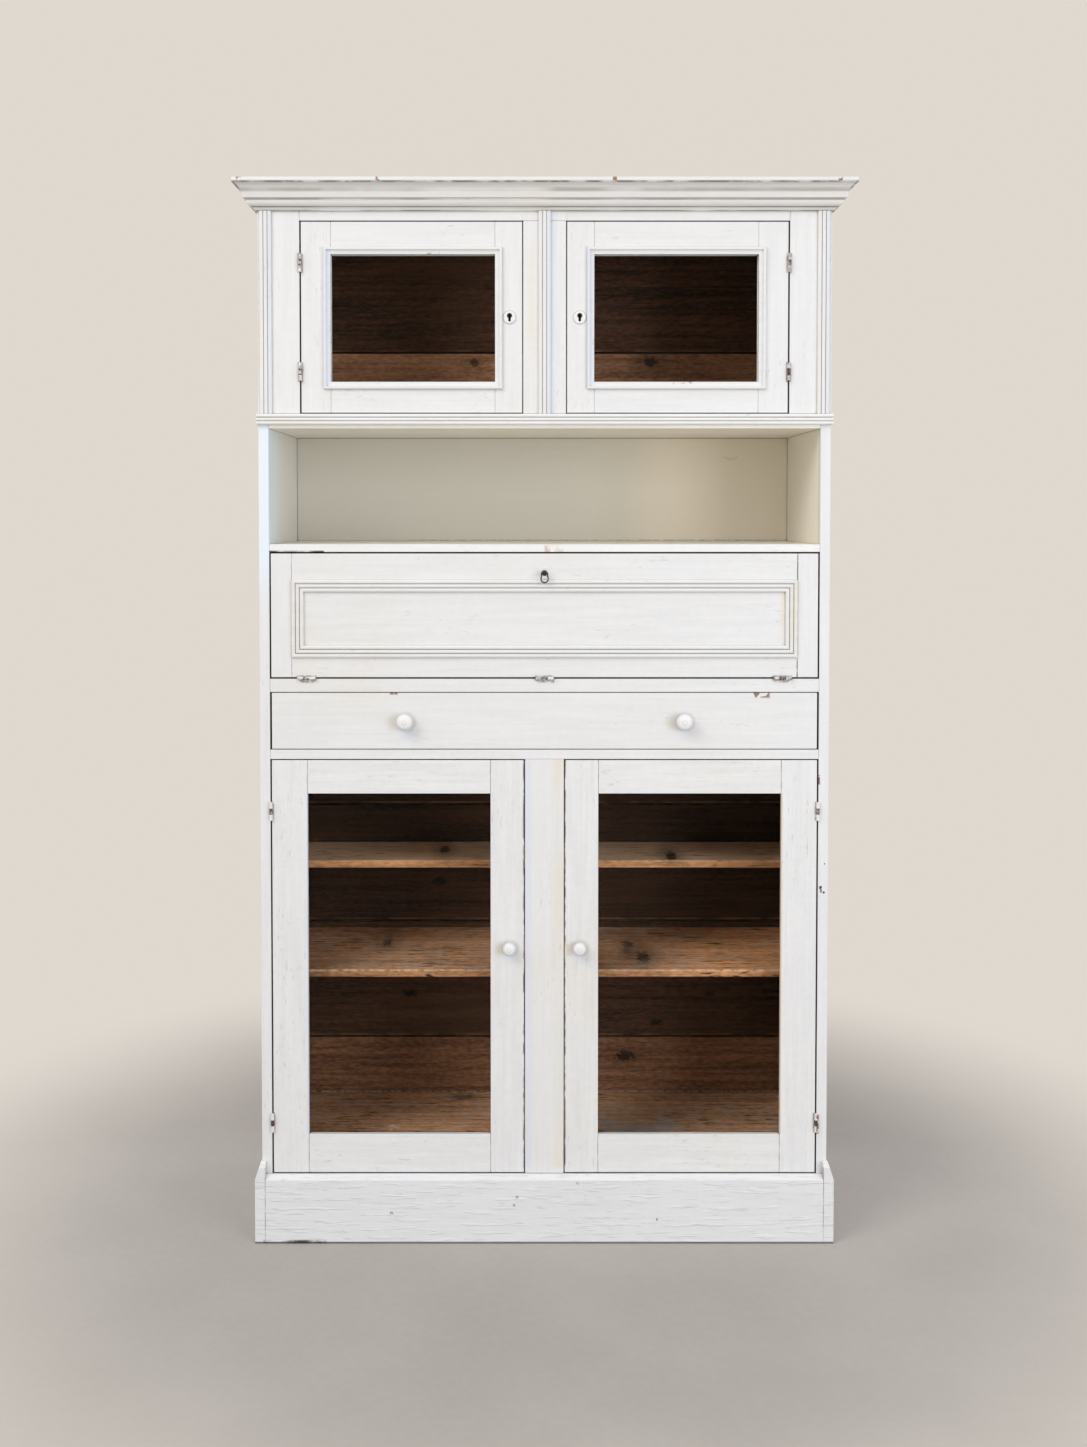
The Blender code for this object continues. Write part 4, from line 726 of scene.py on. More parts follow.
@dataclass(frozen=True)
class PaintedPine:
    """White household paint over pine, with bare wood where the brush never went."""

    run: Run = Run.ACROSS
    turned: tuple[Area, ...] = ()
    turned_run: Run = Run.UPRIGHT
    raw: tuple[Area, ...] = ()
    creamed: tuple[Area, ...] = ()
    tints: tuple[Tint, ...] = ()
    chips: tuple[Area, ...] = ()
    ironwork: tuple[Area, ...] = ()
    fresh: Colour = WHITE_PAINT
    aged: Colour = AGED_WHITE
    wear: float = -0.16
    # How strongly crevices darken, and from what nearness: grime and painted shade together.
    grime_and_shade: float = 0.6
    grime_and_shade_from: float = 0.32
    recess: float = 9.0
    relief: float = 0.75
    ridges: float = 0.0
    wood: tuple[Colour, Colour] = (OLD_PINE, OLD_PINE_LATE)

    def material(self, name: str, shop: Workshop) -> bpy.types.Material:
        """Makes the material.

        Args:
            name: the material's name.
            shop: the shader groups.

        Returns:
            The material.
        """
        material, s = new_material(name)
        spot = s.add("ShaderNodeTexCoord").outputs["Object"]
        place = self.boards(s, shop, spot)
        edge = nearness(s, EDGE_REACH, True)
        crevice = nearness(s, self.recess * MM, False)
        creamed = self.shares(s, shop, spot, self.creamed)
        fresh, aged = self.fresh, self.aged
        if self.creamed:
            fresh = s.mix(creamed, self.fresh, CREAM_PAINT)
            aged = s.mix(creamed, self.aged, AGED_CREAM)
        ageing = s.ease(crevice, 0.2, 0.9, 0.0, 0.5)
        coats = {"Place": place, "Fresh": fresh, "Aged": aged, "Ageing": ageing}
        coats |= {"Relief": self.relief, "Ridges": self.ridges}
        paint = shop.brushed.place(s, coats)
        colour = paint["Colour"]
        for tint in self.tints:
            share = s.product(tint.area.share(s, shop, spot), tint.strength)
            if tint.ragged:
                share = s.product(share, s.ease(s.noise(spot, tint.ragged, 3.0), 0.36, 0.6))
            colour = s.mix(share, colour, tint.colour)
        # Crevices, corners and hollows darken: partly grime, partly painted shade.
        dirt = s.product(s.ease(crevice, self.grime_and_shade_from, 0.95), self.grime_and_shade)
        colour = s.mix(dirt, colour, GRIME_AND_SHADE)
        marks = shop.specks.place(s, {"Place": spot, "PerMetre": (24.0, 24.0, 24.0), "Size": 0.035, "Chance": 0.16})
        colour = s.mix(s.product(marks["Mark"], 0.55), colour, (0.30, 0.24, 0.17))
        early, late = self.wood
        wood = shop.grain.place(s, {"Place": place, "Early": early, "Late": late, "Knots": 1.0})
        iron = self.shares(s, shop, spot, self.ironwork)
        amount = s.total(s.product(iron, 0.62), self.wear) if self.ironwork else self.wear
        bare = shop.wear.place(s, {"Place": spot, "Edge": edge, "Amount": amount})["Bare"]
        if self.chips:
            flaked = s.product(
                self.shares(s, shop, spot, self.chips), s.ease(s.noise(spot, 95.0, 3.0), 0.44, 0.50)
            )
            bare = s.highest(bare, flaked)
        beneath = s.mix(0.5, BARE_PINE, wood["Colour"])
        if self.ironwork:
            beneath = s.mix(iron, beneath, RUST)
        colour = s.mix(bare, colour, beneath)
        rough = s.between(bare, paint["Roughness"], 0.75)
        height = s.between(bare, s.math("MULTIPLY", paint["Height"], 0.7), s.math("MULTIPLY", wood["Height"], 0.3))
        if self.raw:
            raw = self.shares(s, shop, spot, self.raw)
            dusty = s.ease(s.noise(spot, 30.0, 3.0), 0.45, 0.8, 0.0, 0.25)
            colour = s.mix(raw, colour, s.mix(dusty, wood["Colour"], DUST))
            rough = s.between(raw, rough, 0.72)
            height = s.between(raw, height, wood["Height"])
        finish_surface(s, {"Base Color": colour, "Roughness": rough}, height, BUMP_DEPTH)
        return material

    def boards(self, s: Sketch, shop: Workshop, spot: Socket) -> Socket:
        """Coordinates along each board, also where a node holds boards that run two ways.

        Args:
            s: the sketch of the material.
            shop: the shader groups.
            spot: the object coordinates.

        Returns:
            The coordinates in the grain's order.
        """
        place = along(s, spot, self.run)
        if not self.turned:
            return place
        share = s.math("GREATER_THAN", self.shares(s, shop, spot, self.turned), 0.5)
        return s.swap(share, place, along(s, spot, self.turned_run))

    @staticmethod
    def shares(s: Sketch, shop: Workshop, spot: Socket, areas: tuple[Area, ...]) -> Socket | float:
        """The share of several areas together.

        Args:
            s: the sketch of the material.
            shop: the shader groups.
            spot: the object coordinates.
            areas: the areas.

        Returns:
            Their share, which is nought without areas.
        """
        if not areas:
            return 0.0
        return s.highest(*(area.share(s, shop, spot) for area in areas))


@dataclass(frozen=True)
class RawPine:
    """Unpainted old pine, browned, dusty on top, with dirt and painted shade darkening the corners."""

    run: Run = Run.ACROSS
    early: Colour = OLD_PINE
    late: Colour = OLD_PINE_LATE
    knots: float = 1.0
    marked: tuple[KnotAt, ...] = ()
    painted: tuple[Area, ...] = ()
    paint: Colour = WHITE_PAINT
    aged: Colour = AGED_WHITE
    stains: tuple[Tint, ...] = ()
    boards: tuple[OtherBoard, ...] = ()
    dust: float = 0.3
    cloudy: float = 0.45
    scratched: float = 0.0
    sheen: float = 0.2
    offset: Point = (0.0, 0.0, 0.0)

    def material(self, name: str, shop: Workshop) -> bpy.types.Material:
        """Makes the material.

        Args:
            name: the material's name.
            shop: the shader groups.

        Returns:
            The material.
        """
        material, s = new_material(name)
        spot = s.add("ShaderNodeTexCoord").outputs["Object"]
        place = along(s, s.vector("ADD", spot, self.offset), self.run)
        crevice = nearness(s, BOARD_RECESS, False)
        edge = nearness(s, EDGE_REACH, True)
        early, late = self.early, self.late
        for board in self.boards:
            share = board.area.share(s, shop, spot)
            early = s.mix(share, early, board.early)
            late = s.mix(share, late, board.late)
        wood = shop.grain.place(s, {"Place": place, "Early": early, "Late": late, "Knots": self.knots})
        colour = wood["Colour"]
        cloud = s.noise(place, (2.0, 5.0, 5.0), 3.0)
        colour = s.mix(s.ease(cloud, 0.42, 0.75, 0.0, self.cloudy), colour, (0.085, 0.045, 0.024))
        if self.scratched:
            worn_at = s.ease(s.noise(spot, 7.0, 2.0), 0.42, 0.6)
            scratch = s.ease(s.noise(place, (22.0, 150.0, 150.0), 4.0), 0.57, 0.61)
            colour = s.mix(s.product(scratch, worn_at, self.scratched), colour, (0.028, 0.017, 0.011))
        for stain in self.stains:
            share = s.product(stain.area.share(s, shop, spot), stain.strength)
            if stain.ragged:
                share = s.product(share, s.ease(s.noise(spot, stain.ragged, 3.0), 0.36, 0.6))
            colour = s.mix(share, colour, stain.colour)
        for knot in self.marked:
            seen = shop.knot.place(
                s, {"Place": spot, "Centre": Vector(knot.centre) * MM, "Radius": knot.radius * MM}
            )
            colour = s.mix(s.product(seen["Halo"], 0.45 * knot.strength), colour, (0.055, 0.026, 0.012))
            colour = s.mix(s.product(seen["Core"], knot.strength), colour, (0.010, 0.006, 0.004))
        upward = s.split(s.add("ShaderNodeTexCoord").outputs["Normal"])[2]
        lying = s.product(s.ease(upward, 0.5, 0.9), s.ease(s.noise(spot, 34.0, 4.0), 0.36, 0.7), self.dust)
        colour = s.mix(lying, colour, DUST)
        worn = s.product(s.ease(edge, 0.25, 0.8), s.ease(s.noise(spot, 40.0, 2.0), 0.35, 0.65), 0.45)
        colour = s.mix(worn, colour, early)
        # Near-black in crevices and corners: partly dirt, partly painted shade.
        colour = s.mix(s.product(s.ease(crevice, 0.3, 0.95), 0.6), colour, (0.02, 0.013, 0.009))
        marks = shop.specks.place(s, {"Place": spot, "PerMetre": (30.0, 30.0, 30.0), "Size": 0.045, "Chance": 0.10})
        colour = s.mix(s.product(marks["Mark"], 0.5), colour, (0.60, 0.55, 0.47))
        rough = s.ease(cloud, 0.3, 0.7, 0.62, 0.78)
        height = wood["Height"]
        if self.painted:
            coat = shop.brushed.place(s, {"Place": place, "Fresh": self.paint, "Aged": self.aged, "Relief": 1.0})
            share = PaintedPine.shares(s, shop, spot, self.painted)
            bare = shop.wear.place(s, {"Place": spot, "Edge": edge, "Amount": -0.08})["Bare"]
            share = s.product(share, s.math("SUBTRACT", 1.0, bare))
            colour = s.mix(share, colour, coat["Colour"])
            rough = s.between(share, rough, coat["Roughness"])
            height = s.between(share, height, s.math("MULTIPLY", coat["Height"], 0.7))
        inputs = {"Base Color": colour, "Roughness": rough, "Specular IOR Level": self.sheen}
        finish_surface(s, inputs, height, BUMP_DEPTH)
        return material


@dataclass(frozen=True)
class Iron:
    """Dark old iron with a little rust."""

    body: Colour = (0.026, 0.023, 0.021)
    rust: Colour = RUST
    rusting: float = 0.45
    gleam: float = 0.62

    def material(self, name: str, shop: Workshop) -> bpy.types.Material:
        """Makes the material.

        Args:
            name: the material's name.
            shop: the shader groups.

        Returns:
            The material.
        """
        material, s = new_material(name)
        spot = s.add("ShaderNodeTexCoord").outputs["Object"]
        edge = nearness(s, 1.5 * MM, True)
        patches = s.noise(spot, 120.0, 4.0)
        pits = s.noise(spot, 900.0, 2.0)
        rusty = s.product(s.ease(patches, 0.42, 0.62), self.rusting)
        colour = s.mix(rusty, self.body, self.rust)
        rubbed = shop.wear.place(s, {"Place": spot, "Edge": edge, "Amount": 0.0})["Bare"]
        colour = s.mix(s.product(rubbed, 0.4), colour, (0.11, 0.10, 0.095))
        rough = s.total(s.ease(patches, 0.3, 0.7, 0.38, 0.62), s.product(rusty, 0.2))
        metal = s.math("SUBTRACT", self.gleam, s.product(rusty, self.gleam))
        inputs = {"Base Color": colour, "Roughness": rough, "Metallic": metal}
        finish_surface(s, inputs, s.total(s.product(patches, 0.6), s.product(pits, 0.3)), 0.2 * MM)
        return material


@dataclass(frozen=True)
class WindowGlass:
    """Thin clear old glass with a breath of dust."""

    clean: float = 0.012
    dusty: float = 0.05

    def material(self, name: str, shop: Workshop) -> bpy.types.Material:
        """Makes the material; lamps reach what is behind the glass.

        Args:
            name: the material's name.
            shop: the shader groups, of which glass needs none.

        Returns:
            The material.
        """
        material, s = new_material(name)
        spot = s.add("ShaderNodeTexCoord").outputs["Object"]
        rough = s.ease(s.noise(spot, 18.0, 3.0), 0.45, 0.8, self.clean, self.dusty)
        glass = s.add(
            "ShaderNodeBsdfPrincipled",
            {
                "Base Color": (0.97, 0.985, 0.98, 1.0),
                "Roughness": rough,
                "IOR": 1.05,
                "Metallic": 0.0,
                "Transmission Weight": 1.0,
            },
        )
        shadow = s.add("ShaderNodeLightPath").outputs["Is Shadow Ray"]
        clear = s.add("ShaderNodeBsdfTransparent", {"Color": (0.95, 0.965, 0.96, 1.0)})
        both = s.add("ShaderNodeMixShader", {0: shadow, 1: glass.outputs[0], 2: clear.outputs[0]})
        s.add("ShaderNodeOutputMaterial", {"Surface": both.outputs[0]})
        return material


Finish = Union[PaintedPine, RawPine, Iron, WindowGlass]


class Bench:
    """Gives CAD nodes their finishes, and reports each."""

    def __init__(self, shop: Workshop) -> None:
        """Starts with the shader groups.

        Args:
            shop: the shader groups.
        """
        self.shop = shop

    def dress(self, node: str, finish: Finish) -> None:
        """Gives a CAD node its finish.

        Args:
            node: the node's name.
            finish: its finish.
        """
        material = finish.material(f"{node}_finish", self.shop)
        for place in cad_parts[node].material_slots:
            place.material = material
        LOG.info("%s: %s", node, type(finish).__name__)


# Small trim that repeats


def mesh_object(name: str, points: Sequence[Point], faces: Sequence[tuple[int, ...]] = ()) -> bpy.types.Object:
    """Makes an object from points in millimetres.

    Args:
        name: the object's name.
        points: its points.
        faces: its faces, if it has any.

    Returns:
        The object, linked to the scene.
    """
    mesh = bpy.data.meshes.new(name)
    mesh.from_pydata([Vector(point) * MM for point in points], [], faces)
    mesh.update()
    item = bpy.data.objects.new(name, mesh)
    bpy.context.scene.collection.objects.link(item)
    return item


class Recipe:
    """A Geometry Nodes tree with named inputs, which turns points or faces into plain pieces."""

    title: str = ""
    sizes: dict[str, float] = {}

    def __init__(self) -> None:
        """Builds the tree once."""
        self.tree = bpy.data.node_groups.new(self.title, "GeometryNodeTree")
        face = self.tree.interface
        face.new_socket("Geometry", in_out="INPUT", socket_type="NodeSocketGeometry")
        for name in self.sizes:
            face.new_socket(name, in_out="INPUT", socket_type="NodeSocketFloat")
        face.new_socket("Seed", in_out="INPUT", socket_type="NodeSocketInt")
        face.new_socket("Finish", in_out="INPUT", socket_type="NodeSocketMaterial")
        face.new_socket("Geometry", in_out="OUTPUT", socket_type="NodeSocketGeometry")
        s = Sketch(self.tree)
        given = s.add("NodeGroupInput").outputs
        placed = self.draw(s, given)
        real = s.add("GeometryNodeRealizeInstances", {"Geometry": placed})
        shown = s.add("GeometryNodeSetMaterial", {"Geometry": real.outputs[0], "Material": given["Finish"]})
        s.add("NodeGroupOutput", {"Geometry": shown.outputs[0]})

    def draw(self, s: Sketch, given: bpy.types.bpy_prop_collection) -> Socket:
        """Draws the tree's nodes.

        Args:
            s: the sketch of the tree.
            given: the tree's inputs by name.

        Returns:
            The geometry before it is made real.
        """
        raise NotImplementedError

    def make(
        self, base: bpy.types.Object, material: bpy.types.Material, seed: int = 1, **sizes: float
    ) -> bpy.types.Object:
        """Runs the tree on a base object and keeps the result as a plain mesh.

        Args:
            base: the points or faces that carry the pieces; it is used up.
            material: the pieces' material.
            seed: the fixed seed of what is random.
            sizes: values that differ from the tree's usual sizes.

        Returns:
            The finished object, under the base's name.
        """
        step = base.modifiers.new(self.title, "NODES")
        step.node_group = self.tree
        wanted = {**self.sizes, **sizes, "Seed": seed, "Finish": material}
        for item in self.tree.interface.items_tree:
            if item.in_out == "INPUT" and item.name in wanted:
                step[item.identifier] = wanted[item.name]
        graph = bpy.context.evaluated_depsgraph_get()
        mesh = bpy.data.meshes.new_from_object(base.evaluated_get(graph), depsgraph=graph)
        base.modifiers.remove(step)
        name = base.name
        bpy.data.objects.remove(base)
        mesh.name = name
        made = bpy.data.objects.new(name, mesh)
        bpy.context.scene.collection.objects.link(made)
        return made


class ScrewHeads(Recipe):
    """Slotted countersunk screw heads, each facing its own way."""

    title = "screw heads"
    sizes = {"Radius": 2.6 * MM, "Proud": 0.25 * MM, "Slot": 0.7 * MM}

    def draw(self, s: Sketch, given: bpy.types.bpy_prop_collection) -> Socket:
        """A short drum with a slot across it, on every point.

        Args:
            s: the sketch of the tree.
            given: the tree's inputs by name.

        Returns:
            The instances.
        """
        drum = s.add(
            "GeometryNodeMeshCylinder",
            {"Vertices": 12, "Radius": given["Radius"], "Depth": s.math("MULTIPLY", given["Proud"], 2.0)},
        )
        width = s.math("MULTIPLY", given["Radius"], 2.4)
        slot = s.add(
            "GeometryNodeMeshCube",
            {"Size": s.join(width, given["Slot"], s.math("MULTIPLY", given["Proud"], 1.4))},
        )
        raised = s.add(
            "GeometryNodeTransform",
            {"Geometry": slot.outputs[0], "Translation": s.join(0.0, 0.0, given["Proud"])},
        )
        head = s.add("GeometryNodeMeshBoolean", operation="DIFFERENCE")
        s.feed(head.inputs["Mesh 1"], drum.outputs[0])
        s.feed(head.inputs["Mesh 2"], raised.outputs[0])
        facing = s.add("GeometryNodeInputNamedAttribute", {"Name": "facing"}, data_type="FLOAT_VECTOR")
        upright = s.add("FunctionNodeAlignRotationToVector", {"Vector": facing.outputs[0]}, axis="Z")
        turn = s.add("FunctionNodeRandomValue", {"Seed": given["Seed"]}, data_type="FLOAT")
        s.feed(turn.inputs[2], 0.0)
        s.feed(turn.inputs[3], math.pi)
        spin = s.add("FunctionNodeAxisAngleToRotation", {"Axis": (0.0, 0.0, 1.0), "Angle": turn.outputs[1]})
        both = s.add(
            "FunctionNodeRotateRotation",
            {"Rotation": upright.outputs[0], "Rotate By": spin.outputs[0]},
            rotation_space="LOCAL",
        )
        return s.add(
            "GeometryNodeInstanceOnPoints",
            {"Points": given["Geometry"], "Instance": head.outputs[0], "Rotation": both.outputs[0]},
        ).outputs[0]


class NailHeads(Recipe):
    """Flat hammered nail heads, each facing its own way."""

    title = "nail heads"
    sizes = {"Radius": 2.8 * MM, "Proud": 0.6 * MM}

    def draw(self, s: Sketch, given: bpy.types.bpy_prop_collection) -> Socket:
        """A low eight-sided frustum on every point.

        Args:
            s: the sketch of the tree.
            given: the tree's inputs by name.

        Returns:
            The instances.
        """
        head = s.add(
            "GeometryNodeMeshCone",
            {
                "Vertices": 8,
                "Radius Top": s.math("MULTIPLY", given["Radius"], 0.7),
                "Radius Bottom": given["Radius"],
                "Depth": given["Proud"],
            },
        )
        facing = s.add("GeometryNodeInputNamedAttribute", {"Name": "facing"}, data_type="FLOAT_VECTOR")
        upright = s.add("FunctionNodeAlignRotationToVector", {"Vector": facing.outputs[0]}, axis="Z")
        size = s.add("FunctionNodeRandomValue", {"Seed": given["Seed"]}, data_type="FLOAT")
        s.feed(size.inputs[2], 0.8)
        s.feed(size.inputs[3], 1.15)
        return s.add(
            "GeometryNodeInstanceOnPoints",
            {
                "Points": given["Geometry"],
                "Instance": head.outputs[0],
                "Rotation": upright.outputs[0],
                "Scale": size.outputs[1],
            },
        ).outputs[0]


class Flakes(Recipe):
    """Flakes of old paint and slivers of wood that lie on a board."""

    title = "paint flakes"
    sizes = {"Length": 2.2 * MM, "Thick": 0.3 * MM, "Per Square Metre": 60.0}

    def draw(self, s: Sketch, given: bpy.types.bpy_prop_collection) -> Socket:
        """Five-sided chips strewn over the base's faces, each lying flat.

        Args:
            s: the sketch of the tree.
            given: the tree's inputs by name.

        Returns:
            The instances.
        """
        strewn = s.add(
            "GeometryNodeDistributePointsOnFaces",
            {"Mesh": given["Geometry"], "Density": given["Per Square Metre"], "Seed": given["Seed"]},
        )
        chip = s.add(
            "GeometryNodeMeshCylinder",
            {"Vertices": 5, "Radius": s.math("MULTIPLY", given["Length"], 0.5), "Depth": given["Thick"]},
        )
        lifted = s.add(
            "GeometryNodeTransform",
            {
                "Geometry": chip.outputs[0],
                "Translation": s.join(0.0, 0.0, s.math("MULTIPLY", given["Thick"], 0.5)),
            },
        )
        turn = s.add("FunctionNodeRandomValue", {"Seed": given["Seed"]}, data_type="FLOAT")
        s.feed(turn.inputs[2], 0.0)
        s.feed(turn.inputs[3], 2 * math.pi)
        spin = s.add("FunctionNodeAxisAngleToRotation", {"Axis": (0.0, 0.0, 1.0), "Angle": turn.outputs[1]})
        other = s.math("ADD", given["Seed"], 1.0)
        size = s.add("FunctionNodeRandomValue", {"Seed": other}, data_type="FLOAT_VECTOR")
        s.feed(size.inputs[0], (0.5, 0.25, 0.8))
        s.feed(size.inputs[1], (2.4, 0.9, 1.2))
        return s.add(
            "GeometryNodeInstanceOnPoints",
            {
                "Points": strewn.outputs[0],
                "Instance": lifted.outputs[0],
                "Rotation": spin.outputs[0],
                "Scale": size.outputs[0],
            },
        ).outputs[0]


class RoundPlate(Recipe):
    """A low round plate with a hole, its section swept along a circle."""

    title = "round plate"
    sizes = {"Outer": 12.5 * MM, "Inner": 5.5 * MM, "Proud": 0.7 * MM}

    def draw(self, s: Sketch, given: bpy.types.bpy_prop_collection) -> Socket:
        """The section is a flat ring with a rounded rim; every base point gets one, facing forwards.

        Args:
            s: the sketch of the tree.
            given: the tree's inputs by name.

        Returns:
            The instances.
        """
        middle = s.math("MULTIPLY", s.math("ADD", given["Outer"], given["Inner"]), 0.5)
        width = s.math("SUBTRACT", given["Outer"], given["Inner"])
        circle = s.add("GeometryNodeCurvePrimitiveCircle", {"Resolution": 48, "Radius": middle}, mode="RADIUS")
        section = s.add("GeometryNodeCurvePrimitiveCircle", {"Resolution": 10, "Radius": 0.5}, mode="RADIUS")
        flat = s.add(
            "GeometryNodeTransform",
            {
                "Geometry": section.outputs[0],
                "Scale": s.join(width, s.math("MULTIPLY", given["Proud"], 2.0), 1.0),
            },
        )
        ring = s.add("GeometryNodeCurveToMesh", {"Curve": circle.outputs[0], "Profile Curve": flat.outputs[0]})
        smooth = s.add("GeometryNodeSetShadeSmooth", {"Geometry": ring.outputs[0]})
        facing = s.add("GeometryNodeInputNamedAttribute", {"Name": "facing"}, data_type="FLOAT_VECTOR")
        upright = s.add("FunctionNodeAlignRotationToVector", {"Vector": facing.outputs[0]}, axis="Z")
        return s.add(
            "GeometryNodeInstanceOnPoints",
            {"Points": given["Geometry"], "Instance": smooth.outputs[0], "Rotation": upright.outputs[0]},
        ).outputs[0]


@dataclass(frozen=True)
class Spot:
    """A place of a small piece, in millimetres, and the way it faces."""

    at: Point
    facing: Point


class Trimmer:
    """Puts the small repeated pieces on the cupboard."""

    def __init__(self, shop: Workshop) -> None:
        """Builds the trees and their materials.

        Args:
            shop: the shader groups.
        """
        self.screws = ScrewHeads()
        self.nails = NailHeads()
        self.flakes = Flakes()
        self.plates = RoundPlate()
        self.iron = Iron().material("screw_iron", shop)
        self.rust = Iron(body=(0.06, 0.045, 0.035), rusting=0.8).material("nail_iron", shop)
        flake = PaintedPine(wear=-0.5, grime_and_shade=0.2, fresh=(0.66, 0.62, 0.55), aged=(0.50, 0.42, 0.32))
        self.flake = flake.material("flake_paint", shop)

    def spots(self, name: str, places: Sequence[Spot]) -> bpy.types.Object:
        """Makes the base object of a row of small pieces.

        Args:
            name: the piece's name.
            places: where they stand and how they face.

        Returns:
            The base object.
        """
        base = mesh_object(name, [place.at for place in places])
        facing = base.data.attributes.new("facing", "FLOAT_VECTOR", "POINT")
        facing.data.foreach_set("vector", [number for place in places for number in place.facing])
        return base

    def keep(self, piece: bpy.types.Object, body: str) -> None:
        """Lets a finished piece ride on its body and reports it."""
        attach(piece, body)
        LOG.info("%s: %d faces on %s", piece.name, len(piece.data.polygons), body)

    def screw_in(self, name: str, places: Sequence[Spot], body: str, seed: int) -> None:
        """Adds screw heads."""
        self.keep(self.screws.make(self.spots(name, places), self.iron, seed), body)

    def nail_down(self, name: str, places: Sequence[Spot], body: str, seed: int) -> None:
        """Adds nail heads."""
        self.keep(self.nails.make(self.spots(name, places), self.rust, seed), body)

    def strew(self, name: str, low: Point, high: Point, body: str, seed: int, **sizes: float) -> None:
        """Strews flakes over the top of a board.

        Args:
            name: the piece's name.
            low: one corner of the board's top, in millimetres.
            high: the other corner, at the same height.
            body: the body that the board belongs to.
            seed: the fixed seed.
            sizes: values that differ from the tree's usual sizes.
        """
        x0, y0, z = low
        x1, y1, _ = high
        base = mesh_object(name, [(x0, y0, z), (x1, y0, z), (x1, y1, z), (x0, y1, z)], [(0, 1, 2, 3)])
        self.keep(self.flakes.make(base, self.flake, seed, **sizes), body)


# The cupboard

SCREW_LIFT = (7.0, 29.0)
LEAF_GAP = 0.45
LEAF_MIDDLE_Y = -170.0
REVEAL = 3.2


def hinge_screws(pin_x: float, feet: Sequence[float], sign: int) -> tuple[list[Spot], list[Spot]]:
    """Places two screws on each leaf of a door's hinges.

    Args:
        pin_x: the hinges' pin, in millimetres.
        feet: the lower end of each hinge.
        sign: the side of the cupboard that the hinges are on.

    Returns:
        The door's screws and the frame's.
    """
    levels = [foot + lift for foot in feet for lift in SCREW_LIFT]
    door = [Spot((pin_x - sign * LEAF_GAP, LEAF_MIDDLE_Y, z), (sign, 0, 0)) for z in levels]
    post = [Spot((pin_x + sign * LEAF_GAP, LEAF_MIDDLE_Y, z), (-sign, 0, 0)) for z in levels]
    return door, post


def line_tint(x: float, z: float, half_x: float, half_z: float, strength: float) -> Tint:
    """A thin dark joint line on a front face.

    Args:
        x: the line's middle across.
        z: its middle upwards.
        half_x: half its width.
        half_z: half its height.
        strength: how dark it is.

    Returns:
        The tint.
    """
    area = Area((x - half_x, -FAR / MM, z - half_z), (x + half_x, FAR / MM, z + half_z), 0.5)
    return Tint(area, (0.16, 0.125, 0.095), strength, 60.0)


def rim_dirt_and_shade(x0: float, x1: float, z0: float, z1: float) -> Tint:
    """The brown, unpainted edge faces of a moving front, darkened also as painted shade in the gap round it.

    Args:
        x0: the front's left edge, in millimetres.
        x1: its right edge.
        z0: its foot.
        z1: its head.

    Returns:
        The tint.
    """
    inset = 1.2
    x0, x1 = sorted((x0, x1))
    return Tint(Rim((x0 + inset, z0 + inset), (x1 - inset, z1 - inset)), (0.11, 0.07, 0.042), 0.85)


def reveal_dirt_and_shade(*fronts: str) -> tuple[Tint, ...]:
    """The unpainted inner faces of the openings that moving fronts close, darkened as dirt and as painted shade in the
    gaps.

    Args:
        fronts: the nodes of the fronts.

    Returns:
        One tint for each front.
    """
    tints = []
    for front in fronts:
        low, high = (Vector(corner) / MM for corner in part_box(front))
        area = Area(
            (low.x - REVEAL, -175.3, low.z - REVEAL), (high.x + REVEAL, -150.0, high.z + REVEAL), 0.2
        )
        tints.append(Tint(area, (0.11, 0.07, 0.042), 0.85))
    return tuple(tints)


def iron_stain(areas: Sequence[Area]) -> tuple[Tint, ...]:
    """Rust that shows through the paint of hinges."""
    return tuple(Tint(area, (0.20, 0.125, 0.085), 0.6, 130.0) for area in areas)


def knob_finish(node: str, middle: float) -> PaintedPine:
    """A turned knob's paint: painted shade greys it towards its rim, with a fine ring of painted shade round its
    button.

    Args:
        node: the knob's node.
        middle: the radius that stays free of the painted shade, in millimetres.

    Returns:
        The finish.
    """
    low, high = (Vector(corner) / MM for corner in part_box(node))
    front = ((low.x + high.x) / 2, low.y, (low.z + high.z) / 2)
    # Painted shade greys the whole knob and a clean white disc takes it off the middle; the thin grey ring round the
    # button is painted shade too.
    tints = (
        Tint(Area(tuple(low), tuple(high), 1.0), (0.50, 0.48, 0.47), 0.4),
        Tint(Disc(front, middle, middle * 0.6), (0.87, 0.87, 0.875), 0.95),
        Tint(Disc(front, 4.2, 0.5), (0.45, 0.43, 0.42), 0.45),
        Tint(Disc(front, 3.2, 0.5), (0.87, 0.87, 0.875), 0.95),
    )
    return PaintedPine(Run.DEPTHWISE, wear=-0.35, grime_and_shade_from=0.1, recess=4.0, tints=tints)


def knob_shade(x: float, z: float, radius: float) -> tuple[Tint, ...]:
    """The soft grey painted shadow round a knob on the face that it stands on, with yellow painted warm light and blue
    painted cool shade beside it.
    """
    # Painted shadow below and right of the knob, painted warm light to its left, painted cool shade below it.
    return (
        Tint(Disc((x + 2, -176.5, z - 3), radius, 8.0), (0.42, 0.40, 0.39), 0.35),
        Tint(Disc((x - radius - 4, -176.5, z - 3), 6.0, 14.0), (0.80, 0.73, 0.58), 0.4),
        Tint(Disc((x + 2, -176.5, z - radius - 8), 6.0, 14.0), COOL_SHADE_TINT, 0.35),
    )


def worn_gap(x: float, foot: float, head: float) -> Tint:
    """The ragged dirty line beside an upright gap.

    Args:
        x: the gap's middle.
        foot: its lower end.
        head: its upper end.

    Returns:
        The tint.
    """
    return Tint(Area((x - 1.4, -FAR / MM, foot), (x + 1.4, FAR / MM, head), 1.4), (0.13, 0.09, 0.06), 0.75, 42.0)


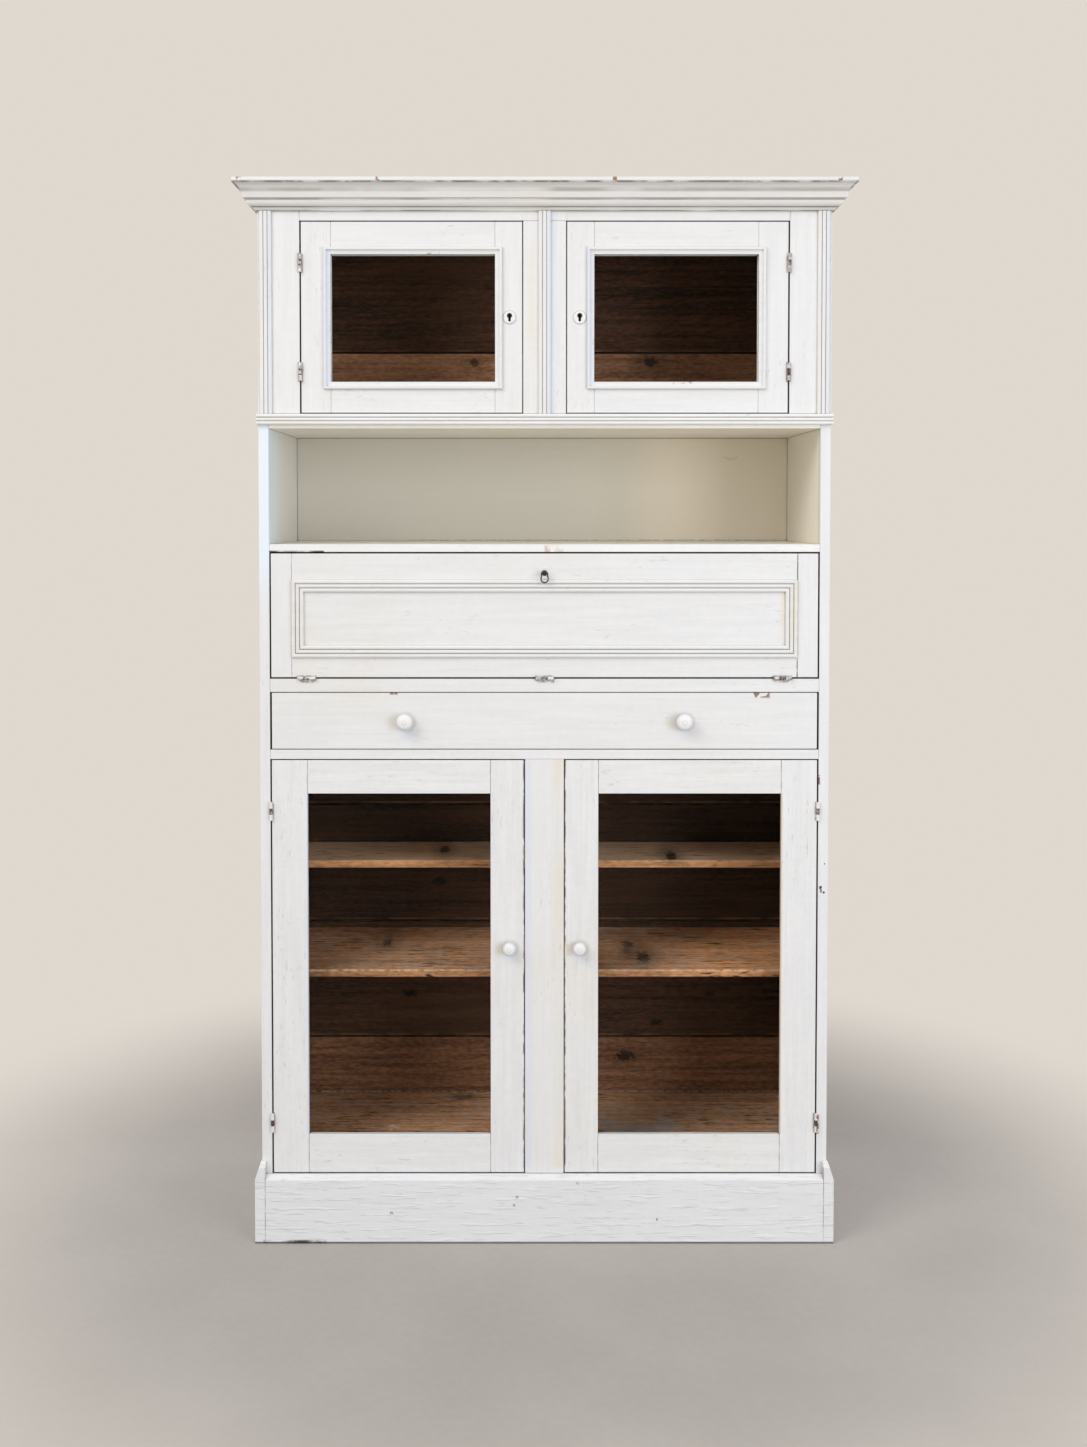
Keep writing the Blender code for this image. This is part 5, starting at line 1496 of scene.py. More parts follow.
@dataclass
class Carcass:
    """The case: sides, frames, rails, floors, shelves, backs, cornice, mouldings and plinth."""

    inner_half: float = 536.0
    outer_half: float = 556.0
    face_y: float = -176.5
    rear_y: float = 218.5
    plank_y: float = 200.5
    niche: tuple[float, float] = (1359.0, 1599.0)
    drawer_rail_z: float = 954.0
    seams: tuple[float, ...] = (279.0, 537.0, 795.0, 1053.0)
    upper_seam: float = 1784.0
    half_shelf_top: float = 711.5
    full_shelf_top: float = 522.0
    lower_floor_top: float = 153.0
    stiles: tuple[float, ...] = (-477.0, -42.9, 42.9, 477.0)
    nail_rows: tuple[float, ...] = (510.0, 522.0)
    # Painted shade: thin dark lines along the cornice's quirks and under its ovolo.
    cornice_shade_lines: tuple[tuple[float, float, float, float], ...] = (
        (2053.0, 2055.0, 5.0, 0.5),
        (2036.4, 2038.2, 0.8, 0.7),
        (2024.0, 2025.0, 0.8, 0.4),
        (2018.0, 2019.2, 0.8, 0.8),
    )

    plinth_nicks: tuple[tuple[float, float, float], ...] = (
        (-535, 146, 2.5), (-508, 147, 3.5), (-262, 146, 2.5), (-90, 148, 3.0), (-84, 144, 2.5), (84, 147, 2.5),
        (-300, 60, 3.0), (-60, 76, 2.5), (-54, 92, 3.0), (66, 120, 2.5), (222, 48, 2.5), (410, 146, 3.0),
    )

    def dress(self, bench: Bench) -> None:
        """Gives every board of the case its finish.

        Args:
            bench: what puts the finishes on.
        """
        for side in Side:
            bench.dress(f"side_panel_{side.value}", self.side_finish(side))
            bench.dress(f"drawer_runner_{side.value}", RawPine(Run.DEPTHWISE, early=PALE_PINE, late=PALE_PINE_LATE))
        bench.dress("top_board", PaintedPine(wear=-0.1, grime_and_shade=0.7, chips=self.top_chips(), tints=self.top_dust()))
        under_top = Tint(Area((-610, -230, 2065.6), (610, 230, 2068.4), 0.5), (0.12, 0.095, 0.075), 0.75, 34.0)
        # Painted shade along the cornice's grooves.
        grooves = tuple(
            Tint(Area((-610, -230, z0), (610, 230, z1), feather), (0.20, 0.165, 0.13), strength, 6.0)
            for z0, z1, feather, strength in self.cornice_shade_lines
        )
        # The cornice's hollows darken from far off and early: mostly painted shade, with some grime.
        bench.dress("cornice", PaintedPine(grime_and_shade=0.6, grime_and_shade_from=0.12, recess=15.0, fresh=(0.80, 0.79, 0.775), tints=(under_top, *grooves)))
        bench.dress("upper_face_frame", self.upper_frame_finish())
        bench.dress("lower_face_frame", self.lower_frame_finish())
        for name in ("left", "centre", "right"):
            bench.dress(f"reeded_strip_{name}", self.strip_finish(name))
        bench.dress("waist_moulding", PaintedPine(grime_and_shade=0.5, grime_and_shade_from=0.25, recess=9.0, fresh=(0.87, 0.87, 0.873)))
        hinges = self.flap_hinges()
        tints = (*iron_stain(hinges), *reveal_dirt_and_shade("flap", "drawer_front"))
        rail = PaintedPine(wear=-0.08, ironwork=hinges, raw=self.behind(), tints=tints)
        bench.dress("flap_rail", rail)
        tints = reveal_dirt_and_shade("drawer_front", "lower_door_left", "lower_door_right")
        rail = PaintedPine(wear=-0.08, raw=(Area((-600, -170, 900), (600, 0, 1000)),), tints=tints)
        bench.dress("drawer_rail", rail)
        bench.dress("plinth", self.plinth_finish())
        self.dress_boards(bench)

    def dress_boards(self, bench: Bench) -> None:
        """Gives the floors, shelves and backs their finishes.

        Args:
            bench: what puts the finishes on.
        """
        low, high = self.niche
        under = (Area((-600, -200, 1590), (600, 300, low + 243)), Area((-600, -200, 1590), (600, -175.6, 1640)))
        # A lighter copy of the cream paint on the niche's ceiling: painted light on a shaded underside.
        floor = RawPine(painted=under, paint=(0.97, 0.935, 0.85), aged=AGED_CREAM, dust=0.2, offset=(0.3, 0.1, 0.2))
        bench.dress("upper_floor", floor)
        bench.dress("niche_shelf", self.niche_shelf_finish())
        cream = Area((-600, 0, 1300), (600, self.plank_y + 1, 1700))
        bench.dress("niche_back", self.niche_back_finish(cream))
        browned = {"early": (0.11, 0.047, 0.022), "late": (0.014, 0.006, 0.004)}
        darker = {"early": (0.056, 0.023, 0.011), "late": (0.010, 0.005, 0.003), "scratched": 0.35}
        bench.dress("well_floor", RawPine(early=PALE_PINE, late=PALE_PINE_LATE, dust=0.2, offset=(0.7, 0.0, 0.1)))
        shelf = {"early": (0.80, 0.43, 0.23), "late": (0.25, 0.125, 0.066), "dust": 0.35, "scratched": 1.0}
        knots = (KnotAt((205, -40, 522), 12), KnotAt((-330, 90, 522), 10, 0.7), KnotAt((180, 60, 522), 9, 0.7))
        pale = self.worn_lip(-119.0, self.full_shelf_top)
        lip = OtherBoard(Area((-540, -130, 400), (540, -118.5, 530), 0.4), (0.52, 0.255, 0.115), (0.20, 0.095, 0.045))
        warm = OtherBoard(Area((360, -130, 400), (540, 210, 530), 120), (0.90, 0.42, 0.175), (0.33, 0.145, 0.057))
        finish = RawPine(marked=knots, boards=(warm, lip), stains=(pale,), offset=(0.15, 0.06, 0.4), **shelf)
        bench.dress("full_shelf", finish)
        # The half shelf's top gets a much lighter tone than its front edge: painted light on a shelf that lies in
        # shade.
        deep = {"early": (1.0, 0.72, 0.49), "late": (0.90, 0.62, 0.42), "cloudy": 0.0, "dust": 0.0, "scratched": 0.6}
        lip = OtherBoard(Area((-540, 10, 600), (540, 19.5, 720), 0.4), (0.74, 0.37, 0.175), (0.34, 0.165, 0.075))
        pale = self.worn_lip(19.0, self.half_shelf_top)
        knots = (KnotAt((270, 60, 711.5), 10), KnotAt((-210, 120, 711.5), 9, 0.7))
        finish = RawPine(marked=knots, boards=(lip,), stains=(pale,), offset=(0.5, 0.3, 0.9), **deep)
        bench.dress("half_shelf", finish)
        stain = Tint(Area((140, -150, 140), (250, 20, 160), 50), (0.20, 0.23, 0.25), 0.7, 25.0)
        bench.dress("lower_floor", RawPine(stains=(stain,), offset=(0.9, 0.02, 0.0), **shelf))
        knots = (
            KnotAt((-224.9, 200.5, 624.3), 14),
            KnotAt((-291.7, 200.5, 374.9), 13),
            KnotAt((252.3, 200.5, 310.1), 11),
            KnotAt((183.9, 200.5, 234.1), 17),
            KnotAt((371.5, 200.5, 374.9), 12, 0.5),
            KnotAt((120.0, 200.5, 590.0), 9, 0.6),
        )
        joints = tuple(tint for z in self.seams for tint in self.plank_tints(z))
        joints += (Tint(Area((-540, 190, 153), (540, 203, 156), 2), (0.45, 0.38, 0.30), 0.5, 90.0),)
        rear = OtherBoard(Area((-600, 209, -10), (600, 240, 2100), 0.3), OLD_PINE, OLD_PINE_LATE)
        # The boards' tones are partly their own and partly painted light: lighter low down by the floor, darker higher
        # up under the shelves.
        boards = (
            OtherBoard(Area((-540, 190, 140), (540, 230, 279), 0.5), (0.33, 0.155, 0.08), (0.10, 0.046, 0.024)),
            OtherBoard(Area((-540, 190, 279), (540, 230, 537), 0.5), (0.088, 0.038, 0.018), (0.014, 0.007, 0.004)),
            rear,
        )
        back = RawPine(marked=knots, stains=joints, boards=boards, offset=(0.0, 0.0, 0.35), **darker)
        bench.dress("lower_back", back)
        marks = (KnotAt((-146.6, 200.5, 1762.4), 11, 0.7), KnotAt((235.1, 200.5, 1764.5), 15, 0.8))
        seam = self.upper_seam
        # Partly the boards' own tone, partly painted light: lighter below the seam and towards the left, dark above it
        # under the top.
        boards = (
            OtherBoard(Area((-540, 190, 1600), (540, 230, seam), 0.5), (0.46, 0.225, 0.12), (0.17, 0.08, 0.043)),
            OtherBoard(Area((-540, 190, 1600), (-140, 230, seam), 120), (0.76, 0.38, 0.205), (0.27, 0.13, 0.07)),
            OtherBoard(Area((-540, 190, seam), (540, 230, 2060), 0.5), (0.125, 0.053, 0.026), (0.019, 0.009, 0.005)),
            rear,
        )
        stains = self.plank_tints(self.upper_seam)
        back = RawPine(marked=marks, stains=stains, boards=boards, scratched=0.4, offset=(0.4, 0.0, 0.8), **browned)
        bench.dress("upper_back", back)

    def plank_tints(self, z: float) -> tuple[Tint, ...]:
        """The dirt in the open joint between two back boards, and the worn lip above it.

        Args:
            z: the joint's height.

        Returns:
            The two tints.
        """
        lip = Tint(Area((-540, 190, z + 1.5), (540, 230, z + 4.5), 3.5), (0.22, 0.115, 0.06), 0.5, 14.0)
        return lip, Tint(Area((-540, 190, z - 1.9), (540, 230, z + 1.9), 0.6), (0.003, 0.002, 0.002), 1.0)

    def worn_lip(self, front: float, top: float) -> Tint:
        """The pale speckled upper corner of a shelf's front edge.

        Args:
            front: the edge's place in the depth.
            top: the shelf's top.

        Returns:
            The tint.
        """
        return Tint(Area((-540, front - 1, top - 2.5), (540, front + 2.5, top + 1), 1.2), (0.74, 0.55, 0.38), 0.45, 75.0)

    def side_finish(self, side: Side) -> PaintedPine:
        """A side panel: painted outside and round the niche, bare inside the cabinets, with painted light on the niche
        walls and the left front edge.

        Args:
            side: which panel.

        Returns:
            Its finish.
        """
        sign = side.sign
        inner = sorted((sign * (self.inner_half + 0.4), 0.0))
        foot, head = self.niche
        front, rear = self.face_y + 22, FAR / MM
        rooms = ((0.0, foot), (head, 2070.0))
        raw = tuple(Area((inner[0], front, z0), (inner[1], rear, z1), 0.3) for z0, z1 in rooms)
        behind = Area((-600, self.rear_y - 0.4, 0), (600, rear, 2070), 0.3)
        cream = Area((inner[0], front, foot), (inner[1], rear, head), 0.3)
        # Painted light on the niche walls: brighter and warmer on the right, cooler on the left.
        wall = (0.86, 0.86, 0.82) if side is Side.LEFT else (1.0, 0.95, 0.83)
        tints = [Tint(cream, wall, 0.95), *reveal_dirt_and_shade(f"lower_door_{side.value}", "flap", "drawer_front")]
        chips: tuple[Area, ...] = ()
        if side is Side.RIGHT:
            dents = ((541.5, 702.0, 2.2), (547.5, 691.5, 1.9), (540.0, 700.5, 1.5), (549.0, 748.0, 1.0))
            tints += [
                Tint(Disc((x, -176.5, z), radius, 0.8), (0.015, 0.013, 0.012), 0.95) for x, z, radius in dents
            ]
            chips = (
                Area((536, -190, 214), (539, -170, 250), 3),
                Area((541, -190, 692), (543, -170, 703), 1.5),
                Area((536, -190, 905), (538, -170, 922), 1.5),
            )
        else:
            # Painted cool light on the front of the left niche wall, and painted warm light on the left panel's front
            # edge.
            tints.append(Tint(Area((-540, -180, foot), (-530, -110, head), 130), (0.82, 0.91, 1.0), 0.8))
            tints.append(Tint(Area((-560, -200, 1660), (-552, -173, 1980), 9), WARM_LIGHT_TINT, 0.3, 4.0))
        return PaintedPine(
            Run.UPRIGHT, raw=(*raw, behind), creamed=(cream,), tints=tuple(tints), chips=chips, wear=-0.06,
            wood=((0.22, 0.105, 0.048), (0.075, 0.035, 0.017)),
        )

    def upper_frame_finish(self) -> PaintedPine:
        """The frame round the upper doors, with its joint lines and tints, among them painted warm light and painted
        cool shade beside the centre strip.
        """
        stiles = tuple(
            Area((sign * 505 - 31, -400, 1500), (sign * 505 + 31, 400, 2100), 0.1) for sign in (-1, 1)
        ) + (Area((-42.9, -400, 1500), (42.9, 400, 2100), 0.1),)
        lines = tuple(line_tint(x, 2010, 0.5, 12, 0.2) for x in self.stiles)
        # Painted warm light left of the centre strip and painted cool shade right of it.
        beside = Tint(Area((-30, -200, 1630), (-18, -150, 2010), 12), WARM_LIGHT_TINT, 0.24, 5.0)
        cool = Tint(Area((14, -200, 1630), (20, -150, 2010), 6), COOL_SHADE_TINT, 0.35)
        raw = Area((-600, -155.0, 1500), (600, 400, 2100), 0.3)
        hinges = tuple(
            Area((sign * 473 - 5, -190, z - 1), (sign * 473 + 5, -160, z + 37), 0.5)
            for sign in (-1, 1)
            for z in (1690, 1900.6)
        )
        reveals = reveal_dirt_and_shade("upper_door_left", "upper_door_right")
        tints = (*lines, beside, cool, *iron_stain(hinges), *reveals)
        return PaintedPine(Run.ACROSS, turned=stiles, tints=tints, raw=(raw,), ironwork=hinges)

    def lower_frame_finish(self) -> PaintedPine:
        """The frame round the lower doors: the centre post stands between two rails."""
        post = Area((-60, -400, 133), (60, 400, 954), 0.1)
        tints = (
            # Painted warm light on the right of the centre post and painted cool shade on its left, beside the doors'
            # edges.
            Tint(Area((22, -200, 150), (39, -150, 950), 10), WARM_LIGHT_TINT, 0.30, 5.0),
            Tint(Area((-39, -200, 150), (-30, -150, 950), 7), COOL_SHADE_TINT, 0.35),
            *reveal_dirt_and_shade("lower_door_left", "lower_door_right"),
        )
        raw = Area((-600, -155.0, 0), (600, 400, 1000), 0.3)
        return PaintedPine(Run.ACROSS, turned=(post,), tints=tints, raw=(raw,))

    def strip_finish(self, name: str) -> PaintedPine:
        """A reeded strip, with painted cool shade on its right and painted warm light on its left.

        Args:
            name: which of the three strips.

        Returns:
            Its finish.
        """
        middle = {"left": -540.0, "centre": 0.0, "right": 540.0}[name]
        # Painted cool shade on the right of the strip and painted warm light on its left.
        cool = Tint(Area((middle + 7, -200, 1600), (middle + 13, -150, 2030), 3), COOL_SHADE_TINT, 0.3)
        warm = Tint(Area((middle - 13, -200, 1600), (middle - 9, -150, 2030), 3), WARM_LIGHT_TINT, 0.25, 6.0)
        return PaintedPine(Run.UPRIGHT, tints=(cool, warm), grime_and_shade=0.6, grime_and_shade_from=0.15, recess=6.0)

    def niche_shelf_finish(self) -> PaintedPine:
        """The niche's floor: cream on top, white in front with a worn pink patch, bare below."""
        cream = Area((-600, -171, 1373.0), (600, 300, 1500), 1.0)
        bare = Area((-600, -150, 1300), (600, 300, 1360), 0.5)
        worn = Tint(Area((4, -200, 1359), (32, -170, 1368), 7), (0.62, 0.44, 0.35), 0.8, 60.0)
        dark = Tint(Area((-537, -200, 1358), (-430, -170, 1361), 1.5), (0.03, 0.025, 0.02), 0.9, 18.0)
        tints = (worn, dark, *reveal_dirt_and_shade("flap"))
        # Its white is lighter than the other paint: a painted highlight on the front edge.
        return PaintedPine(creamed=(cream,), raw=(bare,), tints=tints, wear=-0.03, grime_and_shade=0.4, fresh=(0.90, 0.90, 0.897))

    def niche_back_finish(self, cream: Area) -> PaintedPine:
        """The niche's back: greener on the left, beige painted warm light on the right, painted shade over the left
        and middle, bare behind.

        Args:
            cream: the painted front of it.

        Returns:
            Its finish.
        """
        bare = Area((-600, self.plank_y + 1.2, 1300), (600, 300, 1700), 0.3)
        green = Tint(Area((-540, 190, 1370), (-160, 202, 1600), 260), (0.82, 0.795, 0.72), 0.6)
        # Painted warm light on the right of the niche's back, and painted shade over its left and middle.
        beige = Tint(Area((260, 190, 1370), (540, 202, 1600), 260), (0.95, 0.86, 0.71), 0.85)
        shaded = Tint(Area((-540, 190, 1370), (150, 202, 1600), 150), (0.66, 0.63, 0.55), 0.6)
        knot = tuple(
            Tint(Disc((412 + across, self.plank_y, 1553 + across * across / 40), 1.2, 1.8), (0.50, 0.43, 0.31), 0.28)
            for across in (-13, -9, -5, 0, 5, 9, 13)
        )
        specks = Tint(Area((-300, 190, 1374), (520, 202, 1377), 2), (0.40, 0.32, 0.22), 0.35, 90.0)
        return PaintedPine(creamed=(cream,), raw=(bare,), tints=(green, beige, shaded, *knot, specks), grime_and_shade=0.45)

    def plinth_finish(self) -> PaintedPine:
        """The plinth: a cooler white, with a painted highlight on its chamfer, a painted shadow along its foot and a
        chip at its foot on the left.
        """
        sides = tuple(Area((x0, -170, 0), (x1, 300, 200), 0.5) for x0, x1 in ((-600, -556), (556, 600)))
        chips = (Area((-400, -200, 151.5), (420, -170, 152.5), 1),)
        cool = Tint(Area((-600, -250, 0), (600, 300, 150), 20), (0.80, 0.81, 0.845), 0.6)
        # Painted highlight on the top of the chamfer.
        bright = Tint(Area((-560, -195, 150.5), (560, -172, 160), 1), (0.97, 0.97, 0.972), 0.8)
        ends = tuple(Tint(Area((x - 0.6, -250, 0), (x + 0.6, -100, 150), 0.6), (0.2, 0.17, 0.15), 0.5, 50.0) for x in (-548, 548))
        nicks = tuple(
            Tint(Disc((x, -191.5, z), radius, 0.8), (0.16, 0.11, 0.075), 0.85, 230.0) for x, z, radius in self.plinth_nicks
        )
        # Painted shadow along the plinth's foot where it meets the floor.
        foot = Tint(Area((-600, -250, -1), (600, 300, 3.0), 1.5), (0.085, 0.072, 0.062), 0.85)
        broken = Tint(Area((-550, -250, -1), (-430, -150, 5.0), 4.0), (0.03, 0.025, 0.02), 0.95, 30.0)
        return PaintedPine(
            Run.ACROSS, turned=sides, turned_run=Run.DEPTHWISE, chips=chips, wear=-0.06, relief=1.6, ridges=1.6,
            tints=(cool, bright, *ends, foot, broken, *nicks),
        )

    def top_chips(self) -> tuple[Area, ...]:
        """Where the top board's front edge has lost its paint."""
        return tuple(
            Area((x0, -225, 2067), (x1, -217, 2076), 2) for x0, x1 in ((-588, -580), (-322, -316), (130, 136), (560, 566))
        )

    def top_dust(self) -> tuple[Tint, ...]:
        """Dust and grime on top of the cupboard, even and then in fine spots."""
        lid = Area((-590, -205, 2074.5), (590, 230, 2080), 12)
        return Tint(lid, (0.50, 0.46, 0.41), 0.5), Tint(lid, (0.40, 0.35, 0.30), 0.25, 17.0)

    def flap_hinges(self) -> tuple[Area, ...]:
        """Where the flap's hinges are let into its rail."""
        return tuple(Area((x - 19, -190, 1104), (x + 19, -160, 1118), 0.5) for x in (-464, 0, 464))

    def behind(self) -> tuple[Area, ...]:
        """What lies behind the flap and is never painted."""
        return (Area((-600, -153, 1000), (600, 0, 1140), 0.5),)

    def trim(self, trimmer: Trimmer) -> None:
        """Nails the backs on and strews flakes over the shelves.

        Args:
            trimmer: what makes the small pieces.
        """
        rows = [z for z in (40.0, *self.seams, 1330.0)]
        lower = [z + step for z, above in zip(rows, rows[1:]) for step in (30.0, (above - z) / 2, above - z - 30.0)]
        upper = [1632.0, 1690.0, 1752.0, 1816.0, 1900.0, 1985.0, 2050.0]
        niche = [1400.0, 1486.0, 1575.0]
        spots = [
            Spot((sign * self.nail_rows[place % 2], self.rear_y, z), (0, 1, 0))
            for sign in (-1, 1)
            for place, z in enumerate(lower + niche + upper)
        ]
        trimmer.nail_down("back_nails", spots, "root", 11)
        top = [
            Spot((x, y, 2075.0), (0, 0, 1))
            for x in (-546, -364, -182, 0, 182, 364, 546)
            for y in (-166.0, 206.0)
        ]
        trimmer.nail_down("top_nails", top, "root", 12)
        boards = (
            ("half_shelf_flakes", (-520, 30, self.half_shelf_top), (520, 195), 21),
            ("full_shelf_flakes", (-520, -110, self.full_shelf_top), (520, 195), 22),
            ("floor_flakes", (-520, -140, self.lower_floor_top), (520, 195), 23),
        )
        for name, low, (x1, y1), seed in boards:
            trimmer.strew(name, low, (x1, y1, low[2]), "root", seed)
        slivers = {"Length": 13.0 * MM, "Thick": 1.0 * MM, "Per Square Metre": 3600.0}
        z = self.lower_floor_top
        trimmer.strew("floor_slivers", (-322, -14, z), (-294, 20, z), "root", 26, **slivers)


@dataclass
class UpperDoor:
    """A small glazed door over the niche, with its moulding, lock and round key plate."""

    side: Side
    sight: tuple[float, float, float, float] = (96.0, 414.3, 1689.0, 1935.0)
    pin_x: float = 473.1
    hinge_feet: tuple[float, float] = (1690.0, 1900.6)

    def finish(self) -> PaintedPine:
        """The door's paint, upright on the stiles, bare inside, worn at the hinges, with a painted shadow round its
        key plate.
        """
        sign = self.side.sign
        near, far, foot, head = self.sight
        stiles = tuple(
            Area((min(a, b), -300, 1600), (max(a, b), 300, 2010), 0.1)
            for a, b in ((sign * 40, sign * near), (sign * far, sign * 480))
        )
        hinges = tuple(
            Area((sign * self.pin_x - 5, -190, z - 1), (sign * self.pin_x + 5, -160, z + 37), 0.5)
            for z in self.hinge_feet
        )
        lines = tuple(
            line_tint(sign * x, z, 0.4, half, 0.12)
            for x in (near - 14, far + 14)
            for z, half in ((1650.0, 24.0), (1974.0, 24.0))
        ) + (
            # Painted shadow round the key plate.
            Tint(Disc((sign * 68, -176.5, 1813), 12.0, 3.5), (0.42, 0.40, 0.38), 0.6),
            worn_gap(sign * (self.pin_x + 1.5), 1629, 1998),
            rim_dirt_and_shade(sign * 44, sign * 475, 1629, 1997.6),
            *iron_stain(hinges),
        )
        raw = Area((-600, -155.0, 1500), (600, 400, 2100), 0.3)
        return PaintedPine(Run.ACROSS, turned=stiles, raw=(raw,), ironwork=hinges, tints=lines, wear=-0.05)

    def plate_finish(self) -> PaintedPine:
        """The round key plate: clean white, with painted shade in black round its keyhole."""
        x = self.side.sign * 68.0
        # Painted shade: black discs that darken and widen the keyhole.
        hole = tuple(
            Tint(Disc((x, -177.6, z), radius, 0.7), (0.012, 0.011, 0.010), 0.95)
            for z, radius in ((1816.6, 4.9), (1811.0, 2.4), (1808.0, 2.5))
        )
        return PaintedPine(wear=-0.4, grime_and_shade=0.3, recess=2.5, fresh=(0.90, 0.90, 0.90), tints=hole)

    def moulding_finish(self) -> PaintedPine:
        """The sash moulding: painted cool shade on its left upright, grime and painted shade in its quirk."""
        left = min(self.side.sign * edge for edge in self.sight[:2])
        # Painted cool shade on the moulding's left upright.
        cool = Tint(Area((left - 14, -190, 1680), (left + 1, -160, 1945), 2), COOL_SHADE_TINT, 0.35)
        return PaintedPine(wear=-0.3, grime_and_shade=0.65, grime_and_shade_from=0.2, recess=6.0, tints=(cool,))

    def build(self, bench: Bench, trimmer: Trimmer) -> None:
        """Dresses the door and screws on its hinges.

        Args:
            bench: what puts the finishes on.
            trimmer: what makes the small pieces.
        """
        word = self.side.value
        bench.dress(f"upper_door_{word}", self.finish())
        bench.dress(f"sash_moulding_{word}", self.moulding_finish())
        bench.dress(f"escutcheon_{word}", self.plate_finish())
        bench.dress(f"upper_glass_{word}", WindowGlass())
        for part in ("lock", "bolt"):
            bench.dress(f"{part}_{word}", Iron())
        door, post = hinge_screws(self.side.sign * self.pin_x, self.hinge_feet, self.side.sign)
        trimmer.screw_in(f"upper_door_screws_{word}", door, f"upper_door_{word}", 31)
        trimmer.screw_in(f"upper_post_screws_{word}", post, "root", 32)


@dataclass
class LowerDoor:
    """A tall glazed door with a turned knob that works an iron tongue."""

    side: Side
    sight: tuple[float, float, float, float] = (105.5, 463.3, 211.5, 886.3)
    pin_x: float = 534.5
    hinge_feet: tuple[float, float] = (217.5, 834.0)

    def finish(self) -> PaintedPine:
        """The door's paint, with the lines where its rails meet the stiles."""
        sign = self.side.sign
        near, far, foot, head = self.sight
        stiles = tuple(
            Area((min(a, b), -300, 100), (max(a, b), 300, 960), 0.1)
            for a, b in ((sign * 38, sign * near), (sign * far, sign * 540))
        )
        hinges = tuple(
            Area((sign * self.pin_x - 5, -190, z - 1), (sign * self.pin_x + 5, -160, z + 37), 0.5)
            for z in self.hinge_feet
        )
        lines = tuple(
            line_tint(sign * x, (low + high) / 2, 0.5, (high - low) / 2, 0.4)
            for x in (near, far)
            for low, high in ((136.0, foot), (head, 951.0))
        ) + (
            worn_gap(sign * (self.pin_x + 1.5), 135, 952),
            worn_gap(sign * 40, 135, 952),
            rim_dirt_and_shade(sign * 40, sign * 536, 135.5, 952),
            # Painted shadow and warm and cool light round the knob, and painted light on the sight edge.
            *knob_shade(sign * 69, 584, 13.0),
            self.sight_edge_light(),
            *iron_stain(hinges),
        )
        raw = Area((-600, -155.0, 100), (600, 400, 1000), 0.3)
        return PaintedPine(
            Run.ACROSS, turned=stiles, raw=(raw,), ironwork=hinges, tints=lines, wear=-0.05, relief=1.0, ridges=0.3
        )

    def sight_edge_light(self) -> Tint:
        """The inner face of the outer stile, which the camera sees: painted cool shade in blue on the left, painted
        warm light in tan on the right.
        """
        x = self.side.sign * self.sight[1]
        colour = COOL_SHADE_TINT if self.side is Side.LEFT else (0.72, 0.52, 0.32)
        low, high = sorted((x - self.side.sign * 0.6, x + self.side.sign * 2.2))
        return Tint(Area((low, -180, self.sight[2]), (high, -150, self.sight[3]), 0.4), colour, 0.6)

    def build(self, bench: Bench, trimmer: Trimmer) -> None:
        """Dresses the door and screws on its hinges.

        Args:
            bench: what puts the finishes on.
            trimmer: what makes the small pieces.
        """
        word = self.side.value
        bench.dress(f"lower_door_{word}", self.finish())
        bench.dress(f"door_knob_{word}", knob_finish(f"door_knob_{word}", 9.5))
        bench.dress(f"lower_glass_{word}", WindowGlass())
        bench.dress(f"glazing_bead_{word}", RawPine(early=(0.47, 0.26, 0.12), late=(0.28, 0.14, 0.06)))
        bench.dress(f"latch_{word}", Iron())
        door, post = hinge_screws(self.side.sign * self.pin_x, self.hinge_feet, self.side.sign)
        trimmer.screw_in(f"lower_door_screws_{word}", door, f"lower_door_{word}", 33)
        trimmer.screw_in(f"lower_post_screws_{word}", post, "root", 34)


